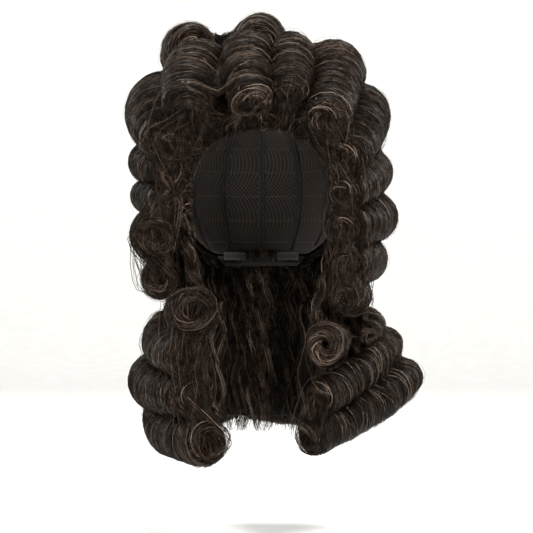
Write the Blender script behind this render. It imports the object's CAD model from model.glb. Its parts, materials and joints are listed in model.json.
"""A full-bottomed costume wig: rolls of set fibre, brushed base hair and the sewn cap inside them.

Lengths are in metres and angles round and up the head in degrees. +X is the wearer's left,
-Y the way the face looks, +Z up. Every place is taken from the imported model's own nodes.
"""

import json
import logging
import math
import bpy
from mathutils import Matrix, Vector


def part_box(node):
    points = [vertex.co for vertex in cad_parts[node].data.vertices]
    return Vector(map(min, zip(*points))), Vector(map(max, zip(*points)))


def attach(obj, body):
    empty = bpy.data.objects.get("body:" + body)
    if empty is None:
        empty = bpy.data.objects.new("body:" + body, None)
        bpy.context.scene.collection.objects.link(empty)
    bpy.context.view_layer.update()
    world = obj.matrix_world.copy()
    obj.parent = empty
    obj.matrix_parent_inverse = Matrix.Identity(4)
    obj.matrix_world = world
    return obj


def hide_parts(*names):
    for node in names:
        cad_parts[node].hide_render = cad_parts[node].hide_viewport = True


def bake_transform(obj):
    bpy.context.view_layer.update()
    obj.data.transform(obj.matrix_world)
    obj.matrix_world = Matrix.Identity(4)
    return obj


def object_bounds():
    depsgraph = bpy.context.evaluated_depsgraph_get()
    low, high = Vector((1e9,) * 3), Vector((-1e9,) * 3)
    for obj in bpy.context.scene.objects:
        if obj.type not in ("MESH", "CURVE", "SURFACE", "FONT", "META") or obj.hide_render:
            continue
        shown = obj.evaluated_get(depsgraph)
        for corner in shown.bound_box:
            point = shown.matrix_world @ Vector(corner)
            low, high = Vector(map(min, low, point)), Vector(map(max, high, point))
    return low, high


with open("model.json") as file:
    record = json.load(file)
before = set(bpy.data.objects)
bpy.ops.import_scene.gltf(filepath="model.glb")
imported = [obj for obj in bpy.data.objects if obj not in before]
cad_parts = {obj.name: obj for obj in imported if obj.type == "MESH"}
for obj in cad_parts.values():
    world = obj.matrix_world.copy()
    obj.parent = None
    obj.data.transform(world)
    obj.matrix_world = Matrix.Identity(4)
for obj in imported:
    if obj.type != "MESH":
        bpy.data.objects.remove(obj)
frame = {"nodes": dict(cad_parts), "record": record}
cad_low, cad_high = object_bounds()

import zlib
from dataclasses import dataclass, field
from enum import Enum
from functools import partial
from typing import Any

import bpy
import numpy as np
from mathutils import Vector

Array = np.ndarray
Socket = bpy.types.NodeSocket
MM = 0.001
TURN = 2 * math.pi
RING = 10  # corners of each section of a roll's solid
LIGHTEST = 4  # the lightest of the fibre's shades; 0 is the darkest
ROUGH_TURN = 6.28  # a full turn, near enough for a wave's random phase
CLUMPS = 997  # different clumps of filaments, before they repeat
TINY = 1e-9
WAY_X, WAY_Y, WAY_Z = np.eye(3)
SIDES = {"right": -1.0, "left": 1.0}  # the wearer's sides, and where each lies along X
log = logging.getLogger("wig")


# Finishes


def linear(hex_colour: str) -> tuple[float, float, float, float]:
    """Turn an sRGB colour into linear light.

    Args:
        hex_colour: six hex digits, red first.

    Returns:
        The linear red, green and blue, and an alpha of 1.
    """
    parts = [int(hex_colour[i : i + 2], 16) / 255 for i in (0, 2, 4)]
    made = [c / 12.92 if c <= 0.04045 else ((c + 0.055) / 1.055) ** 2.4 for c in parts]
    return (made[0], made[1], made[2], 1.0)


def add_node(tree: bpy.types.NodeTree, kind: str, settings: dict[str, Any], inputs: dict[Any, Any]) -> Any:
    """Add a shader node with its settings, values and links.

    Args:
        tree: the node tree that it goes into.
        kind: the node's type name.
        settings: the node's own properties.
        inputs: each input's value, or the output socket that feeds it.

    Returns:
        The new node.
    """
    made = tree.nodes.new(kind)
    for key, value in settings.items():
        setattr(made, key, value)
    for key, value in inputs.items():
        if isinstance(value, Socket):
            tree.links.new(value, made.inputs[key])
        else:
            made.inputs[key].default_value = value
    return made


def new_material(name: str) -> tuple[bpy.types.Material, bpy.types.NodeTree, Any]:
    """Start a material that holds only its shader and its output.

    Args:
        name: the material's name.

    Returns:
        The material, its node tree and its Principled shader.
    """
    material = bpy.data.materials.new(name)
    material.use_nodes = True
    tree = material.node_tree
    return material, tree, tree.nodes["Principled BSDF"]


def lay_coordinates(tree: bpy.types.NodeTree, along: float, across: float) -> Socket:
    """Read the way the fibres or threads lie, in millimetres, and scale it.

    Args:
        tree: the material's node tree.
        along: pattern repeats for each millimetre along the fibre.
        across: pattern repeats for each millimetre across it.

    Returns:
        The scaled vector.
    """
    lay = add_node(tree, "ShaderNodeAttribute", {"attribute_name": "lay"}, {})
    scaled = add_node(tree, "ShaderNodeMapping", {"vector_type": "POINT"},
                      {"Vector": lay.outputs["Vector"], "Scale": (along, across, 1.0)})
    return scaled.outputs["Vector"]


def colour_ramp(tree: bpy.types.NodeTree, factor: Socket, stops: list[tuple[float, str]]) -> Socket:
    """Turn a value into colours.

    Args:
        tree: the material's node tree.
        factor: the value, from 0 to 1.
        stops: each stop's place and sRGB colour.

    Returns:
        The colour socket.
    """
    made = add_node(tree, "ShaderNodeValToRGB", {}, {"Fac": factor})
    ramp = made.color_ramp
    while len(ramp.elements) < len(stops):
        ramp.elements.new(0.5)
    for element, (place, hex_colour) in zip(ramp.elements, stops):
        element.position = place
        element.color = linear(hex_colour)
    return made.outputs["Color"]


@dataclass(frozen=True)
class FibreShade:
    """Modacrylic fibre, spun with its dye in it and heat-set on rods.

    The smooth round filament gives a long soft glint along the top of each roll, brown-grey
    where the light is full, and leaves everything else near black. Batches are mixed on the
    weft, so neighbouring locks differ a little in shade.
    """

    name: str
    colour: str
    roughness: float = 0.42
    glint: float = 0.3  # highest specular level along the filament
    patch: float = 6 * MM / 0.9  # length of a glint patch, about a crimp long

    def make(self) -> bpy.types.Material:
        """Build the material; the glint breaks up along each filament, as crimped fibre does."""
        material, tree, shader = new_material(self.name)
        shader.inputs["Base Color"].default_value = linear(self.colour)
        shader.inputs["Roughness"].default_value = self.roughness
        shader.inputs["IOR"].default_value = 1.52
        shader.inputs["Specular Tint"].default_value = linear("fff0e2")
        place = add_node(tree, "ShaderNodeNewGeometry", {}, {})
        speck = add_node(tree, "ShaderNodeTexNoise", {"noise_dimensions": "3D"},
                         {"Vector": place.outputs["Position"], "Scale": 1 / self.patch, "Detail": 2.0})
        level = add_node(tree, "ShaderNodeMapRange", {},
                         {"Value": speck.outputs["Fac"], "From Min": 0.38, "From Max": 0.7,
                          "To Min": 0.03, "To Max": self.glint})
        tree.links.new(level.outputs["Result"], shader.inputs["Specular IOR Level"])
        return material


@dataclass(frozen=True)
class FibreMass:
    """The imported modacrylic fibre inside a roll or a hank, seen between its outer filaments.

    Light dies between packed filaments, so it is darker than they are and almost without
    glint; combed streaks run along the fibre, drawn 0.9 mm apart where filaments are 0.07 mm.
    """

    name: str
    dark: str = "040302"
    middle: str = "0a0705"
    light: str = "1d1510"
    streaks: float = 1.1  # for each millimetre across the fibre
    run: float = 0.035  # for each millimetre along it

    def make(self) -> bpy.types.Material:
        """Build the material from streaks along the lay."""
        material, tree, shader = new_material(self.name)
        shader.inputs["Roughness"].default_value = 0.6
        shader.inputs["IOR"].default_value = 1.52
        shader.inputs["Specular IOR Level"].default_value = 0.08
        fine = add_node(tree, "ShaderNodeTexNoise", {"noise_dimensions": "2D"},
                        {"Vector": lay_coordinates(tree, self.run, self.streaks), "Scale": 1.0,
                         "Detail": 4.0, "Roughness": 0.7})
        stops = [(0.3, self.dark), (0.5, self.middle), (0.72, self.light)]
        colour = colour_ramp(tree, fine.outputs["Fac"], stops)
        tree.links.new(colour, shader.inputs["Base Color"])
        bump = add_node(tree, "ShaderNodeBump", {},
                        {"Height": fine.outputs["Fac"], "Strength": 0.8, "Distance": 0.6 * MM})
        tree.links.new(bump.outputs["Normal"], shader.inputs["Normal"])
        return material


@dataclass(frozen=True)
class Knit:
    """A knitted or woven textile: stretch power net, band lace, elastic or weft binding.

    Two sets of threads cross at their real spacing, or coarser where that would not show.
    Raised threads catch a little light and the holes between them stay dark.
    """

    name: str
    thread: str
    hole: str
    along: float  # thread spacing one way, in millimetres
    across: float  # and the other way
    slant: float = 0.0  # turn of the threads, in degrees
    depth: float = 0.3  # how deep the holes look, in millimetres
    roughness: float = 0.75
    sheen: float = 0.05

    def make(self) -> bpy.types.Material:
        """Build the material from two crossed sets of threads and a slow change of tone."""
        material, tree, shader = new_material(self.name)
        shader.inputs["IOR"].default_value = 1.5
        shader.inputs["Sheen Weight"].default_value = self.sheen
        shader.inputs["Sheen Roughness"].default_value = 0.4
        lay = add_node(tree, "ShaderNodeAttribute", {"attribute_name": "lay"}, {})
        turned = add_node(tree, "ShaderNodeMapping", {"vector_type": "POINT"},
                          {"Vector": lay.outputs["Vector"], "Rotation": (0.0, 0.0, math.radians(self.slant)),
                           "Scale": (1 / self.along, 1 / self.across, 1.0)})
        waves = [
            add_node(tree, "ShaderNodeTexWave", {"bands_direction": way, "wave_profile": "SIN"},
                     {"Vector": turned.outputs["Vector"], "Scale": math.pi / 10, "Distortion": 0.25,
                      "Detail": 1.0})
            for way in ("X", "Y")
        ]
        crossed = add_node(tree, "ShaderNodeMath", {"operation": "MAXIMUM"},
                           {0: waves[0].outputs["Fac"], 1: waves[1].outputs["Fac"]})
        tone = add_node(tree, "ShaderNodeTexNoise", {"noise_dimensions": "3D"},
                        {"Vector": lay.outputs["Vector"], "Scale": 0.06, "Detail": 3.0})
        mixed = add_node(tree, "ShaderNodeMath", {"operation": "MULTIPLY_ADD"},
                         {0: tone.outputs["Fac"], 1: 0.3, 2: crossed.outputs["Value"]})
        weave = add_node(tree, "ShaderNodeMapRange", {},
                         {"Value": mixed.outputs["Value"], "From Min": 0.75, "From Max": 1.15})
        colour = colour_ramp(tree, weave.outputs["Result"], [(0.15, self.hole), (0.85, self.thread)])
        tree.links.new(colour, shader.inputs["Base Color"])
        rough = add_node(tree, "ShaderNodeMapRange", {},
                         {"Value": tone.outputs["Fac"], "To Min": self.roughness - 0.12,
                          "To Max": self.roughness + 0.12})
        tree.links.new(rough.outputs["Result"], shader.inputs["Roughness"])
        bump = add_node(tree, "ShaderNodeBump", {},
                        {"Height": crossed.outputs["Value"], "Strength": 0.9, "Distance": self.depth * MM})
        tree.links.new(bump.outputs["Normal"], shader.inputs["Normal"])
        return material


@dataclass(frozen=True)
class MouldedNylon:
    """Nylon, injection moulded: fine eroded-tool grain, a dull satin and rubbed paler edges."""

    name: str
    colour: str
    rubbed: str
    grain: float = 0.35  # millimetres

    def make(self) -> bpy.types.Material:
        """Build the material with its grain and its rubbed patches."""
        material, tree, shader = new_material(self.name)
        shader.inputs["IOR"].default_value = 1.53
        place = add_node(tree, "ShaderNodeNewGeometry", {}, {})
        wear = add_node(tree, "ShaderNodeTexNoise", {},
                        {"Vector": place.outputs["Position"], "Scale": 220.0, "Detail": 4.0})
        grain = add_node(tree, "ShaderNodeTexNoise", {},
                         {"Vector": place.outputs["Position"], "Scale": 1 / (self.grain * MM),
                          "Detail": 2.0})
        colour = colour_ramp(tree, wear.outputs["Fac"], [(0.45, self.colour), (0.75, self.rubbed)])
        tree.links.new(colour, shader.inputs["Base Color"])
        rough = add_node(tree, "ShaderNodeMapRange", {},
                         {"Value": wear.outputs["Fac"], "To Min": 0.38, "To Max": 0.6})
        tree.links.new(rough.outputs["Result"], shader.inputs["Roughness"])
        bump = add_node(tree, "ShaderNodeBump", {},
                        {"Height": grain.outputs["Fac"], "Strength": 0.5, "Distance": 0.05 * MM})
        tree.links.new(bump.outputs["Normal"], shader.inputs["Normal"])
        return material


@dataclass(frozen=True)
class StudioPaper:
    """Seamless background paper: uncoated, matt, with a faint felt-side mottle."""

    name: str = "seamless paper"
    colour: str = "f5f5f4"
    mottle: str = "f2f2f1"

    def make(self) -> bpy.types.Material:
        """Build the paper's material."""
        material, tree, shader = new_material(self.name)
        shader.inputs["Roughness"].default_value = 0.95
        shader.inputs["Specular IOR Level"].default_value = 0.1
        place = add_node(tree, "ShaderNodeNewGeometry", {}, {})
        felt = add_node(tree, "ShaderNodeTexNoise", {},
                        {"Vector": place.outputs["Position"], "Scale": 40.0, "Detail": 5.0})
        colour = colour_ramp(tree, felt.outputs["Fac"], [(0.4, self.mottle), (0.6, self.colour)])
        tree.links.new(colour, shader.inputs["Base Color"])
        bump = add_node(tree, "ShaderNodeBump", {},
                        {"Height": felt.outputs["Fac"], "Strength": 0.1, "Distance": 0.2 * MM})
        tree.links.new(bump.outputs["Normal"], shader.inputs["Normal"])
        return material


class Finish(Enum):
    """The finishes that the wig is made in."""

    SHADES = (
        FibreShade("modacrylic fibre near black", "070504", 0.42, 0.12),
        FibreShade("modacrylic fibre darkest brown", "100b08", 0.4, 0.2),
        FibreShade("modacrylic fibre dark brown", "1f1711", 0.38, 0.34),
        FibreShade("modacrylic fibre brown", "40332a", 0.36, 0.5),
        FibreShade("modacrylic fibre warm brown", "75665a", 0.34, 0.65),
    )
    MASS = (FibreMass("packed modacrylic fibre"),)
    NET = (Knit("stretch power net", "4a4039", "090706", 3.0, 3.0, 45.0, 0.6),)
    LACE = (Knit("fine band lace", "4d423a", "0e0b09", 2.4, 2.4, 45.0, 0.4, 0.7),)
    ELASTIC = (Knit("woven elastic", "2c2827", "090808", 2.0, 1.4, 0.0, 0.4, 0.6, 0.05),)
    BINDING = (Knit("stitched weft binding", "33271f", "0a0706", 1.8, 1.0, 0.0, 0.4, 0.7),)
    THREAD = (Knit("polyester sewing thread", "6b5f57", "2a2421", 0.6, 0.6, 30.0, 0.1, 0.5, 0.1),)
    NYLON = (MouldedNylon("moulded nylon", "141314", "2a2829"),)
    PAPER = (StudioPaper(),)

    def materials(self) -> list[bpy.types.Material]:
        """Return the finish's materials, made once."""
        return [bpy.data.materials.get(f.name) or f.make() for f in self.value]


# Meshes


def unit(vectors: Array) -> Array:
    """Scale vectors to a length of 1."""
    return vectors / np.maximum(np.linalg.norm(vectors, axis=-1, keepdims=True), TINY)


def draws(name: str) -> np.random.Generator:
    """Return the seeded random draws that belong to a name."""
    return np.random.default_rng(zlib.crc32(name.encode()))


def by_clump(rng: np.random.Generator, places: Array, spread: float) -> Array:
    """Draw one value for each clump of filaments.

    Args:
        rng: the random draws.
        places: each filament's clump number, a whole number or not.
        spread: the values' standard deviation.

    Returns:
        Each filament's value.
    """
    table = rng.normal(0, spread, CLUMPS)
    return table[np.floor(places).astype(int) % CLUMPS]


def taper(share: Array, margin: float = 0.0, power: float = 0.5) -> Array:
    """Return 1 at the middle of a filament, falling towards 0 at both ends.

    Args:
        share: shares of the filament's length.
        margin: the share at each end over which it stays level.
        power: how late it falls; a smaller one is later.

    Returns:
        The shares of the full width or height.
    """
    return np.sin(np.pi * np.clip(share, margin, 1 - margin)) ** power


def ease(share: Array, start: float, run: float) -> Array:
    """Return 0 before a start and 1 after a run, with a smooth change between."""
    part = np.clip((share - start) / run, 0, 1)
    return part * part * (3 - 2 * part)


def between(first: Array, second: Array, part: Array) -> Array:
    """Return the points that lie a part of the way from the first ones to the second."""
    return (1 - part[..., None]) * first + part[..., None] * second


def turned_way(one: Array, two: Array, angle: Array) -> Array:
    """Return a way turned from one way towards another by an angle, in radians."""
    return np.cos(angle)[..., None] * one + np.sin(angle)[..., None] * two


def at_shares(knots: Array, share: Array) -> Array:
    """Read a line of knots at some shares of its run.

    Args:
        knots: the values, one knot to a row.
        share: the shares.

    Returns:
        The values there, in the last dimension.
    """
    even = np.linspace(0, 1, len(knots))
    return np.stack([np.interp(share, even, column) for column in knots.T], -1)


def bow(first: Array, middle: Array, last: Array, t: Array) -> Array:
    """Return a bowed path between two points, drawn towards a third one between them."""
    return first * (1 - t) ** 2 + 2 * middle * t * (1 - t) + last * t**2


def run_of(line: Array) -> float:
    """Return the length of a line of points."""
    return float(np.linalg.norm(np.diff(line, axis=0), axis=1).sum())


def corners(mesh: bpy.types.Mesh) -> Array:
    """Read a mesh's points, one to a row."""
    flat = np.zeros(len(mesh.vertices) * 3, np.float32)
    mesh.vertices.foreach_get("co", flat)
    return flat.reshape(-1, 3).astype(float)


def node_points(name: str) -> Array:
    """Read a CAD node's corners, each one once."""
    return np.unique(np.round(corners(frame["nodes"][name].data) * 1e6), axis=0) / 1e6


def node_box(name: str) -> Array:
    """Return a CAD node's lowest and highest corners, one to a row."""
    return np.array([list(corner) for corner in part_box(name)])


def far_side(name: str) -> float:
    """Return how far from the middle plane a CAD node reaches."""
    return float(np.abs(node_box(name)[:, 0]).max())


@dataclass(frozen=True)
class Bend:
    """Two bodies that share a piece, and the heights between which it bends."""

    upper: str
    lower: str
    start: float
    end: float

    def __str__(self) -> str:
        """Name both bodies."""
        return f"{self.upper} and {self.lower}"


def add_piece(mesh: bpy.types.Mesh, finish: Finish, body: str | Bend, replaces: tuple[str, ...],
              lay: Array | None) -> bpy.types.Object:
    """Dress a mesh and put it in the scene as a piece of the same name.

    Args:
        mesh: the mesh.
        finish: its finish.
        body: the body that it rides on, or the two that it bends between.
        replaces: the CAD nodes that it stands for.
        lay: millimetres along and across the fibre at each point, where its finish reads them.

    Returns:
        The piece.
    """
    mesh.shade_smooth()
    for material in finish.materials():
        mesh.materials.append(material)
    if lay is not None:
        layer = mesh.attributes.new("lay", "FLOAT_VECTOR", "POINT")
        layer.data.foreach_set("vector", lay.astype(np.float32).ravel())
    made = bpy.data.objects.new(mesh.name, mesh)
    bpy.context.scene.collection.objects.link(made)
    if isinstance(body, Bend):
        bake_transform(made)
    else:
        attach(made, body)
    if replaces:
        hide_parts(*replaces)
    log.info("%s: %d faces on %s", mesh.name, len(mesh.polygons), body)
    return made


@dataclass
class Mesh:
    """A mesh in the making: its points, its faces and the way that its fibres lie."""

    points: list[Array] = field(default_factory=list)
    lays: list[Array] = field(default_factory=list)
    quads: list[Array] = field(default_factory=list)
    triangles: list[Array] = field(default_factory=list)
    quad_slots: list[Array] = field(default_factory=list)
    triangle_slots: list[Array] = field(default_factory=list)
    count: int = 0

    def add(self, points: Array, lay: Array | None, quads: Array, quad_slots: Array | int,
            triangles: Array | None = None, triangle_slots: Array | int = 0) -> None:
        """Add points and the faces on them.

        Args:
            points: the new points.
            lay: millimetres along and across the fibre at each point, or None.
            quads: faces of four corners, numbered from the first new point.
            quad_slots: the material slot of each, or one for all.
            triangles: faces of three corners.
            triangle_slots: the material slot of each, or one for all.
        """
        points = points.reshape(-1, 3)
        self.points.append(points)
        self.lays.append(np.zeros_like(points) if lay is None else lay.reshape(-1, 3))
        self.quads.append(quads.reshape(-1, 4) + self.count)
        self.quad_slots.append(np.broadcast_to(quad_slots, len(quads.reshape(-1, 4))))
        if triangles is not None:
            self.triangles.append(triangles.reshape(-1, 3) + self.count)
            self.triangle_slots.append(np.broadcast_to(triangle_slots, len(triangles.reshape(-1, 3))))
        self.count += len(points)

    def shell(self, outer: Array, inner: Array, lay: Array, slot: int = 0, round_it: bool = False) -> None:
        """Add a closed panel between two grids of points.

        Args:
            outer: points of the outer face, by column and row.
            inner: the matching points of the inner face.
            lay: millimetres along and across at each outer point.
            slot: the material slot.
            round_it: True where the last column joins the first.
        """
        columns, rows = outer.shape[:2]
        size = columns * rows
        number = np.arange(size).reshape(columns, rows)
        after = np.roll(number, -1, axis=0) if round_it else number[1:]
        here = number if round_it else number[:-1]
        face = np.stack([here[:, :-1], after[:, :-1], after[:, 1:], here[:, 1:]], -1).reshape(-1, 4)
        rims = [
            np.stack([here[:, 0], here[:, 0] + size, after[:, 0] + size, after[:, 0]], -1),
            np.stack([here[:, -1], after[:, -1], after[:, -1] + size, here[:, -1] + size], -1),
        ]
        if not round_it:
            for line, turn in ((number[0], 1), (number[-1], -1)):
                low, high = line[:-1], line[1:]
                side = np.stack([low, high, high + size, low + size], -1)
                rims.append(side[:, ::turn])
        faces = np.concatenate([face, face[:, ::-1] + size, *rims])
        self.add(np.concatenate([outer.reshape(-1, 3), inner.reshape(-1, 3)]),
                 np.concatenate([lay.reshape(-1, 3)] * 2), faces, slot)

    def barrel(self, points: Array, lay: Array, slot: int = 0) -> None:
        """Add a closed form from rings of points.

        Args:
            points: the rings, by ring and place round it.
            lay: millimetres along and across the fibre at each point.
            slot: the material slot.
        """
        number = np.arange(points.shape[0] * points.shape[1]).reshape(points.shape[:2])
        after = np.roll(number, -1, 1)
        quads = np.stack([number[:-1], number[1:], after[1:], after[:-1]], -1).reshape(-1, 4)
        fans = [[0, k + 1, k] for k in range(1, points.shape[1] - 1)]
        caps = np.concatenate([number[0][fans][:, ::-1], number[-1][fans]])
        self.add(points, lay, quads, slot, caps, slot)

    def tubes(self, paths: Array, ups: Array, widths: Array, slots: Array | int, sides: int = 3,
              flat: float = 0.8) -> None:
        """Add one closed filament or thread along each path.

        Args:
            paths: points of each path, by path and step.
            ups: the way out of the surface at each point.
            widths: half widths at each point.
            slots: the material slot of each path.
            sides: corners of the filament's section.
            flat: its thickness as a share of its width.
        """
        count, steps = paths.shape[:2]
        ways = unit(np.gradient(paths, axis=1))
        across = unit(np.cross(ways, ups))
        lift = np.cross(across, ways)
        turn = 2 * np.pi * (np.arange(sides) + 0.25) / sides
        spread = np.cos(turn)[:, None] * across[:, :, None] + flat * np.sin(turn)[:, None] * lift[:, :, None]
        points = paths[:, :, None] + widths[:, :, None, None] * spread
        along = np.cumsum(np.linalg.norm(np.diff(paths, axis=1, prepend=paths[:, :1]), axis=2), axis=1)
        lay = np.zeros_like(points)
        lay[..., 0] = along[:, :, None] / MM
        lay[..., 1] = (np.arange(sides) / sides)[None, None, :] + np.arange(count)[:, None, None] * 0.37
        number = np.arange(count * steps * sides).reshape(count, steps, sides)
        here, after = number[:, :-1], number[:, 1:]
        quads = np.stack([here, np.roll(here, -1, 2), np.roll(after, -1, 2), after], -1)
        slots = np.broadcast_to(slots, count)
        quad_slots = np.repeat(slots, (steps - 1) * sides)
        fans = [[0, k + 1, k] for k in range(1, sides - 1)]
        first = number[:, 0][:, fans].reshape(count, -1, 3)
        last = number[:, -1][:, fans].reshape(count, -1, 3)[..., ::-1]
        ends = np.concatenate([first, last], 1)
        self.add(points, lay, quads, quad_slots, ends, np.repeat(slots, ends.shape[1]))

    def hairs(self, paths: Array, ups: Array, widths: Array, tones: Array, flat: float = 0.8) -> None:
        """Add one filament along each path, in the shade nearest to its tone.

        Args:
            paths: points of each path, by path and step.
            ups: the way out of the surface at each point.
            widths: half widths, by path and step.
            tones: each path's tone, from 0 for the darkest shade up.
            flat: each filament's thickness as a share of its width.
        """
        shades = np.clip(np.round(tones), 0, LIGHTEST).astype(int)
        self.tubes(paths, ups, widths + 0 * paths[..., 0], shades, flat=flat)

    def piece(self, name: str, finish: Finish, slot: str, body: str | Bend,
              replaces: tuple[str, ...] = ()) -> bpy.types.Object:
        """Turn the work into a named piece in the scene.

        Args:
            name: the piece's name.
            finish: its finish.
            slot: the record's material slot.
            body: the body that it rides on, or the two that it bends between.
            replaces: the CAD nodes that it stands for.

        Returns:
            The piece.
        """
        points = np.concatenate(self.points)
        quads = np.concatenate(self.quads)
        triangles = np.concatenate([np.zeros((0, 3), int), *self.triangles])
        slots = np.concatenate([*self.quad_slots, *self.triangle_slots])
        mesh = bpy.data.meshes.new(name)
        mesh.vertices.add(len(points))
        mesh.vertices.foreach_set("co", points.astype(np.float32).ravel())
        mesh.loops.add(quads.size + triangles.size)
        used = np.concatenate([quads.ravel(), triangles.ravel()])
        mesh.loops.foreach_set("vertex_index", used.astype(np.int32))
        mesh.polygons.add(len(quads) + len(triangles))
        starts = np.concatenate([np.arange(len(quads)) * 4, quads.size + np.arange(len(triangles)) * 3])
        mesh.polygons.foreach_set("loop_start", starts.astype(np.int32))
        mesh.polygons.foreach_set("material_index", slots.astype(np.int32))
        mesh.update(calc_edges=True)
        lay = None if finish is Finish.SHADES else np.concatenate(self.lays)
        return add_piece(mesh, finish, body, replaces, lay)


# The head that the cap is sewn for


@dataclass(frozen=True)
class HeadForm:
    """The block that the cap is sewn on, an ellipsoid measured from the net panels."""

    middle: Array
    axes: Array

    @classmethod
    def from_nodes(cls, *names: str) -> "HeadForm":
        """Fit the block to the corners of panels that lie on it.

        Args:
            names: the panels' nodes.

        Returns:
            The block under the panels.
        """
        half_net = 0.5 * MM
        points = np.concatenate([node_points(name) for name in names])
        x, y, z = points.T
        terms = np.stack([x * x, y * y, z * z, y, z], 1)
        found = np.linalg.lstsq(terms, np.ones(len(points)), rcond=None)[0]
        middle = np.array([0.0, -found[3] / 2 / found[1], -found[4] / 2 / found[2]])
        scale = 1 + found[1] * middle[1] ** 2 + found[2] * middle[2] ** 2
        return cls(middle, np.sqrt(scale / found[:3]) - half_net)

    def out(self, phi: Array, theta: Array) -> Array:
        """Return the way out of the head at angles round from the front and up."""
        p, t = np.radians(phi), np.radians(theta)
        return np.stack([np.cos(t) * np.sin(p), -np.cos(t) * np.cos(p), np.sin(t) + 0 * p], -1)

    def point(self, phi: Array, theta: Array, height: Array | float) -> Array:
        """Return the points at some angles and heights above the head."""
        lift = np.asarray(height)[..., None] + 0 * self.out(phi, theta)
        return self.middle + (self.axes + lift) * self.out(phi, theta)

    def angles(self, points: Array) -> tuple[Array, Array, Array]:
        """Find where points are on the head.

        Args:
            points: the points.

        Returns:
            Their angles round and up, in degrees, and their heights.
        """
        away = points - self.middle
        height = np.zeros(len(points))
        for _ in range(12):
            share = np.linalg.norm(away / (self.axes + height[:, None]), axis=1)
            height += (share - 1) * np.linalg.norm(away, axis=1) / np.maximum(share, 0.1)
        turned = away / (self.axes + height[:, None])
        phi = np.degrees(np.arctan2(turned[:, 0], -turned[:, 1]))
        return phi, np.degrees(np.arcsin(np.clip(turned[:, 2], -1, 1))), height


@dataclass
class Panel:
    """Where a panel lies on the head: its corners by angle and height, and its edges."""

    phi: Array
    theta: Array
    height: Array

    @classmethod
    def of(cls, head: HeadForm, node: str) -> "Panel":
        """Measure a CAD node.

        Args:
            head: the head that it lies on.
            node: its name.

        Returns:
            The panel.
        """
        phi, theta, height = head.angles(node_points(node))
        turned = phi % 360
        if np.ptp(turned) < np.ptp(phi):
            phi = turned
        return cls(phi, theta, height)

    def edge(self, phi: Array, top: bool) -> Array:
        """Return the upper or lower edge's angle up at some angles round."""
        places = np.round(self.phi, 1)
        stations = np.unique(places)
        pick = np.max if top else np.min
        edges = np.array([pick(self.theta[places == s]) for s in stations])
        return np.interp(phi, stations, edges)

    def outer(self, phi: Array, theta: Array) -> Array:
        """Return the height of the outer face at some angles.

        Args:
            phi: angles round.
            theta: angles up.

        Returns:
            The heights, smoothed between the panel's corners.
        """
        top = self.height > self.height.min() + 1.0 * MM
        if not top.any():
            return np.full(np.shape(phi), self.height.max())
        known = HeadForm(np.zeros(3), np.ones(3)).out(self.phi[top], self.theta[top])
        asked = HeadForm(np.zeros(3), np.ones(3)).out(phi, theta).reshape(-1, 3)
        gap = ((asked[:, None] - known[None]) ** 2).sum(-1) + 1e-4
        weight = gap ** -2.5
        return ((weight * self.height[top]).sum(1) / weight.sum(1)).reshape(np.shape(phi))

    def grid(self, columns: int, rows: int, inset: float = 0.0) -> tuple[Array, Array]:
        """Lay a grid of angles over the panel.

        Args:
            columns: columns round.
            rows: rows up.
            inset: degrees left out along each edge.

        Returns:
            The angles round and up, by column and row.
        """
        phi = np.linspace(self.phi.min() + inset, self.phi.max() - inset, columns)
        share = np.linspace(0, 1, rows)
        low = self.edge(phi, False) + inset
        high = self.edge(phi, True) - inset
        theta = low[:, None] + (high - low)[:, None] * share[None]
        return np.repeat(phi[:, None], rows, 1), theta


def patch(left: float, right: float, low: float, high: float, columns: int, rows: int) -> tuple[Array, Array]:
    """Lay a grid of angles between two angles round the head and two up it."""
    return np.meshgrid(np.linspace(left, right, columns), np.linspace(low, high, rows), indexing="ij")


def dome_grid(low: float, high: float, columns: int, rows: int) -> tuple[Array, Array]:
    """Lay a grid of angles all round the head, between two angles up."""
    phi = np.linspace(0, 360, columns, endpoint=False)
    return np.meshgrid(phi, np.linspace(low, high, rows), indexing="ij")


def cover(work: Mesh, head: HeadForm, grid: tuple[Array, Array], outer: Array | float, inner: Array | float,
          upright: bool = False, dome: bool = False) -> None:
    """Add a closed panel that follows the head.

    Args:
        work: the mesh that it goes into.
        head: the head.
        grid: angles round and up, by column and row.
        outer: height of its outer face.
        inner: height of its inner face.
        upright: True where its fibres or threads run up the head.
        dome: True where it closes over the top of the head.
    """
    phi, theta = grid
    radius = float(head.axes.mean()) / MM
    ways = [np.radians(phi) * radius * np.cos(np.radians(theta)), np.radians(theta) * radius]
    lay = np.stack([*(ways[::-1] if upright else ways), 0 * phi], -1)
    work.shell(head.point(phi, theta, outer), head.point(phi, theta, inner), lay, round_it=dome)


# Rolls


class Wind(Enum):
    """Which way a roll's fibres wind round its rod, seen from its front end."""

    CLOCKWISE = 1.0
    ANTICLOCKWISE = -1.0


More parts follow.
